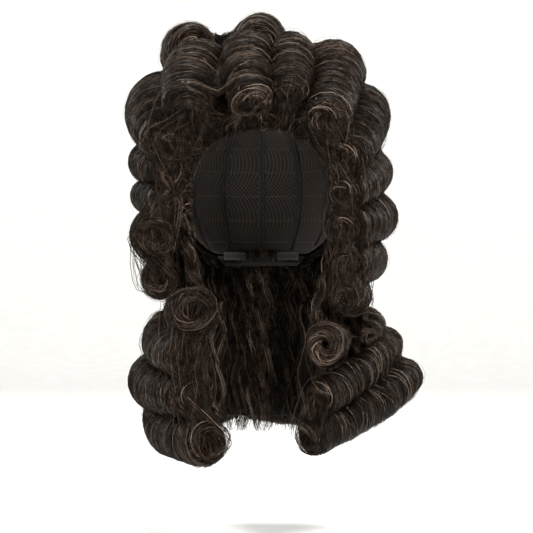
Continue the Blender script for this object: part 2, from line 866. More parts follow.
@dataclass
class RollForm:
    """The shape of one roll: its middle line and its radius, measured from its solid."""

    line: Array
    size: Array
    length: float

    @classmethod
    def from_node(cls, name: str) -> "RollForm":
        """Measure a roll's solid.

        Args:
            name: the node.

        Returns:
            The form, from its rear or inner end to its front or outer one.
        """
        points = node_points(name)
        middle = points.mean(0)
        place = (points - middle) @ np.linalg.svd(points - middle)[2][0]
        look = np.linspace(-0.2, 1.2, 1401)
        for _ in range(8):
            rings = np.argsort(place).reshape(-1, RING)
            centres = points[rings].mean(1)
            even = np.linspace(0, 1, len(centres) - 2)
            line = np.polyfit(even, centres[1:-1], 2)
            track = line[0] * look[:, None] ** 2 + line[1] * look[:, None] + line[2]
            place = look[np.argmin(((points[:, None] - track[None]) ** 2).sum(2), axis=1)]
        radii = np.linalg.norm(points[rings] - centres[:, None], axis=2).mean(1)
        ends = centres[1], centres[-2]
        outward = abs(ends[1][0]) > abs(ends[0][0])
        if not (outward if name.startswith("back_") else ends[1][1] < ends[0][1]):
            centres, radii = centres[::-1], radii[::-1]
            line = np.polyfit(even, centres[1:-1], 2)
        return cls(line, np.polyfit(even, radii[1:-1], 2), run_of(centres[1:-1]))

    def frames(self, x: Array) -> tuple[Array, Array, Array, Array]:
        """Return the middle line's points and its three ways at some lengths along it.

        Args:
            x: lengths; beyond the ends the line goes straight on.

        Returns:
            Points, and the ways along, across and up.
        """
        share = np.clip(x / self.length, 0, 1)[..., None]
        points = self.line[0] * share**2 + self.line[1] * share + self.line[2]
        along = unit(2 * self.line[0] * share + self.line[1])
        across = unit(np.cross(along, WAY_Z))
        beyond = (x - np.clip(x, 0, self.length))[..., None]
        return points + beyond * along, along, across, np.cross(across, along)

    def radius(self, x: Array) -> Array:
        """Return the radius at some lengths along the line."""
        return np.polyval(self.size, np.clip(x / self.length, 0, 1))

    def frame_at(self, share: float) -> tuple[Array, Array, Array, Array]:
        """Return the point and the ways along, across and up at one share of the line."""
        return self.frames(np.array(share * self.length))

    def radius_at(self, share: float) -> float:
        """Return the radius at one share of the line."""
        return float(self.radius(np.array(share * self.length)))


@dataclass
class Roll:
    """One roll of hair: a packed core and the filaments wound over it, spiralling into its ends."""

    name: str
    body: str
    head: HeadForm
    swell: float = 1.12  # the fibres' lay stands at this share of the solid's radius
    crown: float = 0.5  # how far an end bulges, as a share of its radius
    hollow: float = 0.38  # the dark eye's radius, as a share of the end's
    drift: float = 2.6 * MM  # how far a filament moves along the roll for each radian
    lock: float = 7.5 * MM  # mean width of a lock
    groove: float = 1.5 * MM  # depth between two locks
    half_width: float = 0.29 * MM  # half the width of a drawn filament
    per_mm: float = 3.2  # filaments for each millimetre along the roll
    strays: int = 105
    swirled: int = 105  # filaments led into the front eye
    core_columns: int = 40
    core_step: float = 2.1 * MM

    def __post_init__(self) -> None:
        """Measure the roll and settle its locks."""
        self.form = RollForm.from_node(self.name)
        self.rng = draws(self.name)
        self.crown *= self.rng.uniform(0.85, 1.15)
        self.hollow *= self.rng.uniform(0.75, 1.15) * (0.6 if "crown" in self.name else 0.85)
        on_left = node_box(self.name)[:, 0].sum() > 0
        self.wind = Wind.CLOCKWISE if on_left else Wind.ANTICLOCKWISE
        self._profile()
        middle, _, across, up = self.form.frame_at(0.5)
        inward = self.head.middle - middle
        self.seam = math.atan2(float(inward @ up), float(inward @ across))
        steps = self.lock * self.rng.uniform(0.6, 1.5, 60)
        self.edges = np.concatenate([[-0.03], -0.03 + np.cumsum(steps)])
        self.tones = self.rng.normal(0, 0.7, len(self.edges))
        self.leans = self.rng.normal(0, 1, (len(self.edges), 3))
        self.waves = self.rng.uniform(0, TURN, (4,))
        self.eye = self.rng.uniform(-0.16, 0.16, 2)

    def _profile(self) -> None:
        """Draw the roll's outline, from the eye of its rear end to the eye of its front end."""
        length = self.form.length
        body = np.linspace(0, length, 48)
        outline = [np.stack([body, self.form.radius(body) * self.swell], 1)]
        turn = np.linspace(0, np.pi, 16)[1:]
        for share, way in ((0, -1), (1, 1)):
            at = share * length
            r = self.form.radius_at(share) * self.swell
            mid, half = 0.5 * (1 + self.hollow), 0.5 * (1 - self.hollow)
            lip = np.stack([at + way * self.crown * r * np.sin(turn), r * (mid + half * np.cos(turn))], 1)
            deep = np.linspace(0, 1, 8)[1:, None]
            funnel = lip[-1] + deep * (np.array([at - way * 0.8 * r, 0.13 * r]) - lip[-1])
            end = np.concatenate([lip, funnel])
            outline = [end[::-1], *outline] if way < 0 else [*outline, end]
        track = np.concatenate(outline)
        self.v = np.concatenate([[0], np.cumsum(np.linalg.norm(np.diff(track, axis=0), axis=1))])
        self.x, self.rho = track.T
        normal = unit(np.stack([-np.gradient(self.rho, self.v), np.gradient(self.x, self.v)], 1))
        self.nx, self.nrho = normal.T
        self.eye_depth = 0.55 * self.form.radius_at(1)

    def surface(self, v: Array, angle: Array, lift: Array) -> tuple[Array, Array]:
        """Map a place on the roll to a point.

        Args:
            v: length along the outline.
            angle: radians round the roll.
            lift: height above the lay.

        Returns:
            The points and the ways out of the roll there.
        """
        x, rho, nx, nrho = (np.interp(v, self.v, a) for a in (self.x, self.rho, self.nx, self.nrho))
        mid, along, across, up = self.form.frames(x)
        radius = self.form.radius(x) * self.swell
        w = self.waves
        lumps = 0.045 * np.sin(2 * angle + w[0] + v / (22 * MM))
        lumps = lumps + 0.035 * np.sin(angle + w[1] - v / (13 * MM))
        lumps = lumps + 0.018 * np.sin(3 * angle + w[2] + v / (6.5 * MM))
        around = turned_way(across, up, angle)
        out = nrho[..., None] * around + nx[..., None] * along
        inside = np.clip(1 - rho / radius, 0, 1)[..., None] * radius[..., None]
        shift = inside * (self.eye[0] * across + self.eye[1] * up)
        reach = (rho * (1 + lumps) + lift * nrho)[..., None]
        return mid + reach * around + (lift * nx)[..., None] * along + shift, out

    def lock_rise(self, q: Array) -> tuple[Array, Array]:
        """Find the lock at a place across the fibres.

        Args:
            q: the place across the fibres.

        Returns:
            The lock's number and how high the lay stands there, from 0 in a groove to 1.
        """
        lock = np.clip(np.searchsorted(self.edges, q) - 1, 0, len(self.edges) - 2)
        share = (q - self.edges[lock]) / (self.edges[lock + 1] - self.edges[lock])
        return lock, np.sin(np.pi * np.clip(share, 0, 1)) ** 0.7

    def core(self) -> None:
        """Build the packed fibre under the filaments."""
        v = np.linspace(0, self.v[-1], int(self.v[-1] / self.core_step))
        angle = np.linspace(0, TURN, self.core_columns, endpoint=False)
        vv, aa = np.meshgrid(v, angle, indexing="ij")
        turned = (self.wind.value * (aa - self.seam)) % TURN
        q = vv - self.drift * turned
        lift = self.groove * (self.lock_rise(q)[1] - 1) - 0.7 * MM
        points, _ = self.surface(vv, aa, lift)
        lay = np.zeros(points.shape)
        lay[..., 0] = turned * self.form.radius_at(0) / MM
        lay[..., 1] = q / MM
        work = Mesh()
        work.barrel(points, lay)
        work.piece(self.name + "_core", Finish.MASS, "curled_fibre", self.body, (self.name,))

    def filaments(self, work: Mesh, count: int, stray: bool) -> None:
        """Wind filaments round the roll.

        Args:
            work: the mesh that they go into.
            count: how many.
            stray: True for loose hairs that stand off the lay.
        """
        rng = self.rng
        each = partial(rng.uniform, size=(count, 1))
        share = np.linspace(0, 1, 12)[None]
        start = each(0, TURN)
        turned = start + each(3.2, 6.0) * share
        q = each(self.eye_depth - self.drift * 6, self.v[-1] - self.eye_depth)
        lock, rise = self.lock_rise(q)
        lean, phase, own = self.leans[lock, 0], self.leans[lock, 1] * 3, each(0, ROUGH_TURN)
        wave = 0.9 * MM * np.sin(1.6 * turned + phase) + 0.5 * MM * np.sin(2.3 * turned + own)
        cross = np.where(rng.random((count, 1)) < 0.12, each(-2.5, 3.5), 1.0)
        drift = self.drift * cross * (1 + 0.22 * lean + 0.2 * rng.normal(0, 1, (count, 1)))
        margin = 0.2 * self.eye_depth
        v = np.clip(q + drift * turned + wave, margin, self.v[-1] - margin)
        tuck = taper(share, 0.02)
        sector = np.floor(start / 1.1) * 131  # keeps clumps on different sides of the roll apart
        stand = by_clump(rng, q / (1.5 * MM) + sector, 0.42) + rng.normal(0.1, 0.2, (count, 1))
        lift = self.groove * (rise - 1) + stand * MM - 0.9 * MM * (1 - tuck)
        width = self.half_width * each(0.7, 1.35)
        if stray:
            lift = lift + each(0.3, 1.9) ** 2 * MM * np.sin(np.pi * share) ** 1.5
            v = v + each(-6, 6) * MM * np.sin(TURN * share + own)
            width = width * 0.5
        paths, out = self.surface(v, self.seam + self.wind.value * turned, lift + 0 * v)
        streak = by_clump(rng, q / (0.75 * MM) + sector, 0.9)[:, 0] + 0.7 * stand[:, 0]
        tone = 0.2 + 0.6 * self.tones[lock[:, 0]] + streak + rng.normal(0, 0.55, count) + 1.6 * rise[:, 0]
        work.hairs(paths, out, width * (0.35 + 0.65 * tuck), tone)

    def swirl(self, work: Mesh, count: int) -> None:
        """Lead filaments over the front lip and round into the eye.

        Args:
            work: the mesh that they go into.
            count: how many.
        """
        each = partial(self.rng.uniform, size=(count, 1))
        share = np.linspace(0, 1, 16)[None]
        inner = self.v[-1] - each(0.1, 1.25) * self.eye_depth
        outer = self.v[-1] - self.eye_depth * each(2.2, 4.2)
        turned = each(0, TURN) + each(3.5, 7.5) * share
        v = outer + (inner - outer) * share ** each(0.8, 1.6)
        v = v + 0.8 * MM * np.sin(2 * turned + each(0, ROUGH_TURN))
        v = np.clip(v, 0, self.v[-1] - 0.05 * self.eye_depth)
        lift = (each(-0.2, 1.6) ** 2 * np.sin(np.pi * share) - 0.5) * MM
        paths, out = self.surface(v, self.seam + self.wind.value * turned, lift + 0 * v)
        widths = self.half_width * each(0.6, 1.2) * (0.4 + 0.6 * taper(share))
        work.hairs(paths, out, widths, self.rng.normal(2.1, 1.1, count))

    def build(self) -> None:
        """Build the core and the filaments."""
        self.core()
        work = Mesh()
        self.filaments(work, int(self.per_mm * self.v[-1] / MM), False)
        self.filaments(work, self.strays, True)
        self.swirl(work, self.swirled)
        work.piece(self.name + "_filaments", Finish.SHADES, "curled_fibre", self.body, (self.name,))


class Facing(Enum):
    """The side of two neighbouring rolls that a bridge of filaments covers."""

    OUTWARD = "over"
    FORWARD = "before"


@dataclass
class Bridge:
    """Filaments that leave one roll, dip into the crease and wave on over the next roll."""

    first: Roll
    second: Roll
    per_mm: float = 2.2
    half_width: float = 0.28 * MM
    steps: int = 13
    dip: float = 66.0  # degrees past the crest where a filament lets go of its roll
    before_count: int = 120  # filaments that cross between two front swirls

    def outward(self, points: Array) -> Array:
        """Return the way out of the wig at some points."""
        inner = points.copy()
        inner[..., 0] = 0.0
        inner[..., 1] = self.first.head.middle[1]
        inner[..., 2] = np.minimum(points[..., 2], self.first.head.middle[2])
        return points - inner

    def over(self, rng: np.random.Generator, count: int) -> tuple[Array, Array, Array]:
        """Lay filaments over the outer sides of both rolls.

        Args:
            rng: the random draws.
            count: how many.

        Returns:
            The paths, the ways out and which filaments find a neighbour close enough.
        """
        a, b = self.first.form, self.second.form
        each = partial(rng.uniform, size=(count, 1))
        share = np.linspace(0, 1, self.steps)[None]
        xa = each(-0.1, 1.0) * a.length
        look = np.linspace(-0.06, 1.04, 90) * b.length
        line = b.frames(look)[0]
        mid_a, along, _, _ = a.frames(xa)
        nearest = np.linalg.norm(mid_a - line[None], axis=2).argmin(1)
        xb = look[nearest][:, None]
        mid_b = b.frames(xb)[0]
        ra, rb = self.round(self.first, xa), self.round(self.second, xb)
        gap = np.linalg.norm(mid_b - mid_a, axis=2)
        keep = (gap[:, 0] < 1.45 * (ra + rb)[:, 0] + 5 * MM) & (nearest > 1) & (nearest < len(look) - 2)
        toward = unit(mid_b - mid_a)
        out = self.outward(0.5 * (mid_a + mid_b))
        out = unit(out - (out * toward).sum(-1, keepdims=True) * toward)
        slide = 3.0 * MM * (share - 0.5) + 0.9 * MM * np.sin(5 * share + 9 * np.floor(xa / (7 * MM)))
        start, stop = each(25, 80), each(25, 80)
        let_go = self.dip * each(0.8, 1.12)
        back = 1 - share
        turn_a = np.radians(np.minimum(-start + (start + let_go) * share * 2.2, let_go + 10 * share))
        turn_b = np.radians(np.minimum(-stop + (stop + let_go) * back * 2.2, let_go + 10 * back))
        over = ease(share, 0.36, 0.28)
        lift = ((each(0.0, 1.3) - 1.3 * (1 - taper(share, 0.04, 0.45))) * MM)[..., None]
        way_a = turned_way(out, toward, turn_a)
        way_b = turned_way(out, -toward, turn_b)
        on_a = mid_a + (ra[..., None] + lift) * way_a
        on_b = mid_b + (rb[..., None] + lift) * way_b
        paths = between(on_a, on_b, over) + slide[..., None] * along
        return paths, unit(between(way_a, way_b, over)), keep

    def round(self, roll: Roll, x: Array) -> Array:
        """Return a roll's outer radius, rounded off beyond its ends."""
        radius = roll.form.radius(x) * roll.swell
        beyond = np.abs(x - np.clip(x, 0, roll.form.length)) / (roll.crown * radius)
        return radius * np.sqrt(np.clip(1 - beyond**2, 0.05, 1))

    def before(self, rng: np.random.Generator, count: int) -> tuple[Array, Array, Array]:
        """Lead filaments out of one roll's front swirl, across the crease and into the next.

        Args:
            rng: the random draws.
            count: how many.

        Returns:
            The paths, the ways out and which filaments are kept.
        """
        each = partial(rng.uniform, size=(count, 1))
        share = np.linspace(0, 1, self.steps)[None]
        rolls = (self.first, self.second)
        ends = [roll.form.frame_at(1) for roll in rolls]
        radii = [roll.form.radius_at(1) * roll.swell for roll in rolls]
        apart = ends[1][0] - ends[0][0]
        toward = unit(apart)
        front = ends[0][1] + ends[1][1]
        front = unit(front - (front @ toward) * toward)
        aside = np.cross(front, toward)
        sense = np.where(rng.random((count, 1)) < 0.5, -1.0, 1.0)
        leave = np.radians(each(35, 75))
        sweeps = np.radians(rng.uniform(50, 230, (2, count, 1)))
        turn_a = -sense * leave - sense * sweeps[0] * np.clip(1 - share / 0.6, 0, 1)
        same = np.where(rng.random((count, 1)) < 0.35, -1.0, 1.0)
        turn_b = np.pi - same * sense * (leave + sweeps[1] * np.clip((share - 0.4) / 0.6, 0, 1))
        parts = []
        for roll, (mid, *_), r, turn in zip(rolls, ends, radii, (turn_a, turn_b)):
            ring = np.clip(each(roll.hollow + 0.06, 0.98) + 0.12 * np.sin(2 * turn), roll.hollow, 1)
            slope = (ring - 0.5 * (1 + roll.hollow)) / (0.5 * (1 - roll.hollow))
            rise = roll.crown * r * np.sqrt(np.clip(1 - slope**2, 0.02, 1)) + each(0, 1.5) * MM
            way = turned_way(toward, aside, turn)
            parts.append(mid + (ring * r)[..., None] * way + rise[..., None] * front)
        stray = each(-0.75, 0.75) * min(radii) * np.sin(np.pi * share) ** 2
        paths = between(*parts, ease(share, 0.34, 0.32)) + stray[..., None] * aside
        level = abs(float(apart @ ends[0][1])) < 0.55 * np.linalg.norm(apart)
        keep = np.full(count, level and np.linalg.norm(apart) < 1.7 * sum(radii))
        return paths, front + 0 * paths, keep

    def build(self, facings: tuple[Facing, ...]) -> None:
        """Build the bridge.

        Args:
            facings: the sides that it covers.
        """
        name = self.first.name + "_to_" + self.second.name.replace("right_", "").replace("left_", "")
        rng = draws(name)
        work = Mesh()
        for facing in facings:
            if facing is Facing.OUTWARD:
                count = int(self.per_mm * self.first.form.length / MM)
                paths, out, keep = self.over(rng, count)
            else:
                count = self.before_count
                paths, out, keep = self.before(rng, count)
            if not keep.any():
                continue
            share = np.linspace(0, 1, self.steps)[None]
            widths = self.half_width * rng.uniform(0.6, 1.25, (count, 1)) * (0.3 + 0.7 * taper(share))
            streak = by_clump(rng, 9e3 * paths[:, 0, 1], 0.9) if facing is Facing.OUTWARD else 0.0
            tone = rng.normal(1.5, 0.75, count) + streak
            work.hairs(paths[keep], out[keep], widths[keep], tone[keep])
        if work.points:
            work.piece(name, Finish.SHADES, "curled_fibre", self.first.body)


# Brushed hair


@dataclass
class BrushedHair:
    """Hair brushed flat over the cap between the rolls: a packed layer and filaments on it."""

    node: str
    head: HeadForm
    flow_round: float  # degrees moved round for each filament
    flow_up: float  # degrees moved up, mostly downwards
    count: int
    half_width: float = 0.33 * MM

    def core(self, panel: Panel) -> None:
        """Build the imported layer.

        Args:
            panel: where the layer lies.
        """
        dome = self.node.startswith("crown")
        phi, theta = dome_grid(float(panel.theta.min()), 89.6, 96, 26) if dome else panel.grid(56, 34)
        ridges = 0.5 * MM * np.sin(np.radians(phi) * 62 + 2.2 * np.sin(np.radians(theta) * 5))
        top = panel.outer(phi, theta) - 0.4 * MM + ridges
        work = Mesh()
        cover(work, self.head, (phi, theta), top, panel.height.min(), upright=True, dome=dome)
        work.piece(self.node + "_core", Finish.MASS, "base_fibre", "cap", (self.node,))

    def build(self) -> None:
        """Build the layer and its filaments."""
        panel = Panel.of(self.head, self.node)
        self.core(panel)
        rng, size = draws(self.node), (self.count, 1)
        share = np.linspace(0, 1, 9)[None]
        phi = rng.uniform(panel.phi.min(), panel.phi.max(), size)
        low, high = panel.edge(phi, False), panel.edge(phi, True)
        if self.node.startswith("crown"):
            high = high * 0 + 89
        theta = low + (high - low) * rng.uniform(0.1, 1.12, size)
        lock = np.floor(phi / 5.5)
        wave = 1.6 * np.sin(TURN * share + lock * 2.4)
        wave = wave + 0.5 * np.sin(2 * TURN * share + 6 * rng.random(size))
        spread = 1 / np.maximum(np.cos(np.radians(np.clip(theta, -80, 82))), 0.2)
        phi = phi + (self.flow_round * share + wave) * spread
        theta = np.clip(theta + self.flow_up * share * rng.uniform(0.7, 1.3, size), low - 6, 89)
        tuck = taper(share, 0.03)
        ridge = 0.6 * MM * np.sin(np.radians(phi) * 62)
        lift = panel.outer(phi, theta) + ridge + (0.5 + rng.random(size)) * MM - 1.1 * MM * (1 - tuck)
        paths = self.head.point(phi, theta, lift)
        widths = self.half_width * rng.uniform(0.7, 1.3, size) * (0.4 + 0.6 * tuck)
        streak = by_clump(rng, phi[:, 0] / 0.9, 0.8)
        tone = rng.normal(1.2, 0.6, self.count) + streak + 0.5 * np.sin(lock[:, 0] * 1.7)
        work = Mesh()
        work.hairs(paths, self.head.out(phi, theta), widths, tone)
        work.piece(self.node + "_filaments", Finish.SHADES, "base_fibre", "cap", (self.node,))


@dataclass
class Hairline:
    """Hair rooted along the band's edge, swept up and out into the nearest rolls."""

    head: HeadForm
    rolls: list[Roll]
    count: int = 2700
    babies: int = 620
    ends: int = 220  # filaments combed over each roll's front end
    spots: int = 900  # places tried on each roll for a root's hair to land
    near: int = 420  # the nearest of them, which it lands among
    half_width: float = 0.29 * MM
    reach: float = 46 * MM  # longest way from a root to its roll

    def __post_init__(self) -> None:
        """Measure the band and seed the random draws."""
        self.band = Panel.of(self.head, "front_band")
        self.rng = draws("hairline")

    def landing(self, roots: Array) -> tuple[Array, Array, Array]:
        """Find where each root's hair meets a roll.

        Args:
            roots: the roots.

        Returns:
            A point just under a roll's lay for each root, the way out there, and its distance.
        """
        rng = self.rng
        places, ways = [], []
        for roll in self.rolls:
            along = rng.uniform(0.5 * roll.v[-1], roll.v[-1] - 1.5 * roll.eye_depth, self.spots)
            angle = rng.uniform(0, TURN, self.spots)
            point, out = roll.surface(along, angle, np.full(self.spots, -0.3 * MM))
            places.append(point)
            ways.append(out)
        place, way = np.concatenate(places), np.concatenate(ways)
        gaps = np.linalg.norm(roots[:, None] - place[None], axis=2)
        ranks = np.argsort(gaps, axis=1)[:, : self.near]
        each = np.arange(len(roots))
        pick = ranks[each, (self.near * rng.random(len(roots)) ** 1.6).astype(int)]
        return place[pick], way[pick], gaps[each, pick]

    def swept(self, work: Mesh) -> None:
        """Sweep hair from the band's edge into the rolls."""
        rng = self.rng
        phi = rng.uniform(-63, 63, self.count)
        theta = self.band.edge(phi, False) + rng.uniform(-0.8, 7.0, self.count)
        theta = theta - (np.abs(phi) > 52) * rng.uniform(0, 16, self.count)
        roots, out = self.head.point(phi, theta, 1.0 * MM), self.head.out(phi, theta)
        goal, way, gap = self.landing(roots)
        keep = gap < self.reach
        roots, out, goal, way, gap = (a[keep] for a in (roots, out, goal, way, gap[:, None]))
        up = WAY_Z - out * out[:, 2:]
        first = roots + out * gap * 0.30 + up * gap * rng.uniform(0.1, 0.5, gap.shape)
        tangent = unit(np.cross(way, rng.normal(0, 0.35, way.shape) + WAY_Y))
        tangent *= np.sign((tangent * (goal - roots)).sum(1, keepdims=True))
        second = goal - tangent * gap * 0.35
        last = goal + tangent * np.minimum(gap * 0.25, 7 * MM) - way * 1.2 * MM
        t = np.linspace(0, 1, 12)[None, :, None]
        paths = (1 - t) ** 3 * roots[:, None] + 3 * t * (1 - t) ** 2 * first[:, None]
        paths = paths + 3 * t * t * (1 - t) * second[:, None] + t**3 * goal[:, None]
        paths = np.concatenate([paths, last[:, None]], 1)
        share = np.linspace(0, 1, paths.shape[1])[None]
        widths = self.half_width * rng.uniform(0.7, 1.3, (len(paths), 1)) * (1 - 0.6 * share**3)
        streak = by_clump(rng, phi[keep] / 0.7, 0.8)
        tone = rng.normal(1.9, 0.8, len(paths)) + streak
        work.hairs(paths, unit(between(out[:, None], way[:, None], share)), widths, tone)

    def over_ends(self, work: Mesh) -> None:
        """Comb hair over the front ends of the crown and temple rolls and down to the band."""
        rng, count = self.rng, self.ends
        each, plain = partial(rng.uniform, size=(count, 1)), partial(rng.uniform, size=count)
        deep = partial(rng.uniform, size=(count, 1, 1))
        t = np.linspace(0, 1, 13)[None, :, None]
        for roll in self.rolls:
            if "crown" not in roll.name and "temple" not in roll.name:
                continue
            mid, along, across, up = roll.form.frame_at(1)
            r = roll.form.radius_at(1) * roll.swell
            v = roll.v[-1] - roll.eye_depth * plain(2.4, 4.6)
            angle = roll.seam + np.pi + plain(-1.9, 1.9)
            start, way = roll.surface(v, angle, np.full(count, 0.4 * MM))
            side = turned_way(across, up, angle + roll.wind.value * rng.normal(0.9, 0.5, count))
            over = mid + each(0.1, 0.85) * r * side + (roll.crown * r + each(0, 3.5) * MM) * along
            phi, _, _ = self.head.angles(mid[None] + 0.5 * r * along[None])
            root_phi = phi + plain(-10, 10)
            root_theta = self.band.edge(root_phi, False) + plain(-2.5, 4.0)
            goal = self.head.point(root_phi, root_theta, plain(1, 6) * MM)
            lead = start + along * each(2, 7) * MM + way * each(0, 2) * MM
            near = 0.45 * over + 0.55 * goal + along * each(1, 7) * MM
            first = bow(lead[:, None], over[:, None], near[:, None], t)
            whole = bow(start[:, None], first, goal[:, None], t)
            whirl = TURN * deep(0.6, 1.6) * t + deep(0, ROUGH_TURN)
            curl = deep(0.3, 2.2) * MM * np.sin(np.pi * t)
            whole = whole + curl * turned_way(across, up, whirl[..., 0])
            widths = self.half_width * each(0.6, 1.25) * (1 - 0.6 * t[..., 0] ** 3)
            tone = by_clump(rng, angle * 9 + 50, 0.7) + rng.normal(1.3, 0.8, count)
            work.hairs(whole, along + 0 * whole, widths, tone)

    def loose(self, work: Mesh) -> None:
        """Scatter the short loose hairs that curl out over the band's edge."""
        rng, count = self.rng, self.babies
        each = partial(rng.uniform, size=(count, 1))
        share = np.linspace(0, 1, 12)[None]
        phi = each(-60, 60)
        theta = self.band.edge(phi, False) + each(-0.6, 1.0)
        size = each(2.0, 7.5)
        turn = each(2.0, 4.6) * share * np.sign(rng.normal(0, 1, (count, 1)))
        path_phi = phi + size * np.sin(turn) * 0.8
        path_theta = theta - size * 0.8 * np.sin(np.pi * share) + 0.6 * size * (1 - np.cos(turn))
        lift = (0.8 + each(0.5, 6) * share) * MM
        paths = self.head.point(path_phi, path_theta, lift)
        widths = 0.5 * self.half_width * each(0.7, 1.3) * (1 - 0.6 * share)
        work.hairs(paths, self.head.out(path_phi, path_theta), widths, rng.normal(1.8, 0.9, count))

    def build(self) -> None:
        """Build the swept hair, the combed roll ends and the loose baby hairs."""
        parts = (
            (self.swept, "hairline_filaments", "base_fibre"),
            (self.over_ends, "combed_roll_ends", "curled_fibre"),
            (self.loose, "hairline_loose_hairs", "base_fibre"),
        )
        for lead, name, slot in parts:
            work = Mesh()
            lead(work)
            work.piece(name, Finish.SHADES, slot, "cap")


@dataclass
class Hank:
    """Waved hair that hangs in locks along a line, on one body or across a joint."""

    name: str
    line: Array  # points from root to tip
    across: Array  # half spread at each of them: along the first way and the second
    first: Array  # first way of spread
    locks: int
    per_lock: int
    wave: float = 3.6 * MM
    wavelength: float = 46 * MM
    lock_radius: float = 3.4 * MM
    half_width: float = 0.27 * MM
    steps: int = 20
    ragged: float = 0.12
    tone: float = 1.5
    on_faces: bool = False  # True where its locks lie on both faces of a packed core
    packed: float = 0.0  # its own packed core's size, as a share of its spread; 0 for none

    def ways(self, share: Array) -> tuple[Array, Array, Array, Array]:
        """Return the line's points, half spreads and two ways across at some shares of it.

        Args:
            share: the shares, by path and step.

        Returns:
            Points, half spreads and both ways across.
        """
        points, sizes = at_shares(self.line, share), at_shares(self.across, share)
        ways = unit(np.gradient(points, axis=1))
        one = unit(self.first - (ways * self.first).sum(-1, keepdims=True) * ways)
        return points, sizes, one, np.cross(ways, one)

    def core(self, body: str | Bend, slot: str) -> None:
        """Build the packed fibre inside the hank.

        Args:
            body: the body that it rides on, or the two that it bends between.
            slot: the record's material slot.
        """
        share = np.linspace(0.02, 0.95, 40)[:, None]
        points, sizes, one, two = (a[0][:, None] for a in self.ways(share.T))
        turn = np.linspace(0, -TURN, 28, endpoint=False)[None]
        size = self.packed * taper(share, 0.06, 0.4)
        size = size * (1 + 0.08 * np.sin(5 * turn + 9 * share) + 0.05 * np.sin(9 * turn - 14 * share))
        rings = points + (size * sizes[..., 0] * np.cos(turn))[..., None] * one
        rings = rings + (size * sizes[..., 1] * np.sin(turn))[..., None] * two
        lay = np.zeros(rings.shape)
        lay[..., 0] = share * run_of(self.line) / MM
        lay[..., 1] = np.abs(turn) * 6
        work = Mesh()
        work.barrel(rings, lay)
        work.piece(self.name + "_core", Finish.MASS, slot, body)

    def build(self, body: str | Bend, slot: str = "base_fibre", replaces: tuple[str, ...] = ()) -> None:
        """Build the hank.

        Args:
            body: the body that it rides on, or the two that it bends between.
            slot: the record's material slot.
            replaces: the CAD nodes that it stands for.
        """
        rng = draws(self.name)
        count = self.locks * self.per_lock
        each, one_a_lock = partial(rng.uniform, size=(count, 1)), partial(rng.uniform, size=self.locks)
        lock = np.repeat(np.arange(self.locks), self.per_lock)
        share = np.linspace(0, 1, self.steps)[None] * each(1 - self.ragged, 1)
        share = np.clip(share + each(0, 0.25 * self.ragged), 0, 1)
        smooth, sizes, one, two = self.ways(share)
        home = rng.uniform(-1, 1, (self.locks, 2))
        if self.on_faces:
            home[:, 1] = np.sign(home[:, 1]) * (0.8 + 0.35 * np.abs(home[:, 1]))
        home = home[lock][:, None]
        phase = one_a_lock(0, TURN)[lock][:, None]
        pitch = self.wavelength * one_a_lock(0.8, 1.25)[lock][:, None]
        turn = TURN * share * run_of(self.line) / pitch + phase
        radius, angle = np.sqrt(rng.random((count, 1))) * self.lock_radius, each(0, ROUGH_TURN)
        radius, angle = radius * (1 - 0.45 * share**2), angle + 1.5 * share
        wobble = 0.5 * MM * np.sin(3 * turn + each(0, ROUGH_TURN))
        swing = self.wave * np.clip(0.35 + 2.2 * share, 0, 1)
        side = home[..., 0] * sizes[..., 0] + swing * np.sin(turn) + radius * np.cos(angle) + wobble
        lift = home[..., 1] * sizes[..., 1] + 0.7 * swing * np.cos(turn) + radius * np.sin(angle)
        paths = smooth + side[..., None] * one + lift[..., None] * two
        widths = self.half_width * each(0.7, 1.3) * (1 - 0.7 * share**4)
        tones = self.tone + rng.normal(0, 0.8, self.locks)[lock] + rng.normal(0, 0.8, count)
        if self.packed:
            self.core(body, slot)
        work = Mesh()
        work.hairs(paths, two, widths, tones)
        work.piece(self.name, Finish.SHADES, slot, body, replaces)


@dataclass
class Wisps:
    """Single hairs that have sprung out of the set and hang in loose loops."""

    name: str
    body: str
    roots: Array
    way: Array  # the way that they lean
    count: int = 40
    loop: float = 6 * MM  # mean radius of a loop
    half_width: float = 0.13 * MM

    def build(self) -> None:
        """Build the loops, rooted between the points given."""
        rng, count = draws(self.name), self.count
        each, noise = partial(rng.uniform, size=(count, 1)), partial(rng.normal, size=(count, 3))
        t = np.linspace(0, 1, 30)[None]
        roots = at_shares(self.roots, rng.random(count)) + noise(0, 1.5 * MM)
        lean = unit(self.way + noise(0, 0.3))
        down = unit(noise(0, 0.25) - WAY_Z)
        turn = TURN * each(0.5, 1.9) * t * np.sign(rng.normal(0, 1, (count, 1)))
        size = self.loop * each(0.35, 1.3) * (0.5 + 0.5 * t)
        reach = each(2, 9) * MM * np.sin(0.5 * np.pi * t)
        drop = each(0, 14) * MM * t**1.5
        paths = roots[:, None] + (reach + size * (1 - np.cos(turn)) * 0.6)[..., None] * lean[:, None]
        paths = paths + (drop + size * np.sin(turn))[..., None] * down[:, None]
        widths = self.half_width * each(0.7, 1.3) * (1 - 0.5 * t)
        ups = np.cross(lean, down)[:, None] + 0 * paths
        work = Mesh()
        work.hairs(paths, ups, widths, rng.normal(1.6, 1.0, count), flat=1.0)
        work.piece(self.name, Finish.SHADES, "curled_fibre", self.body)


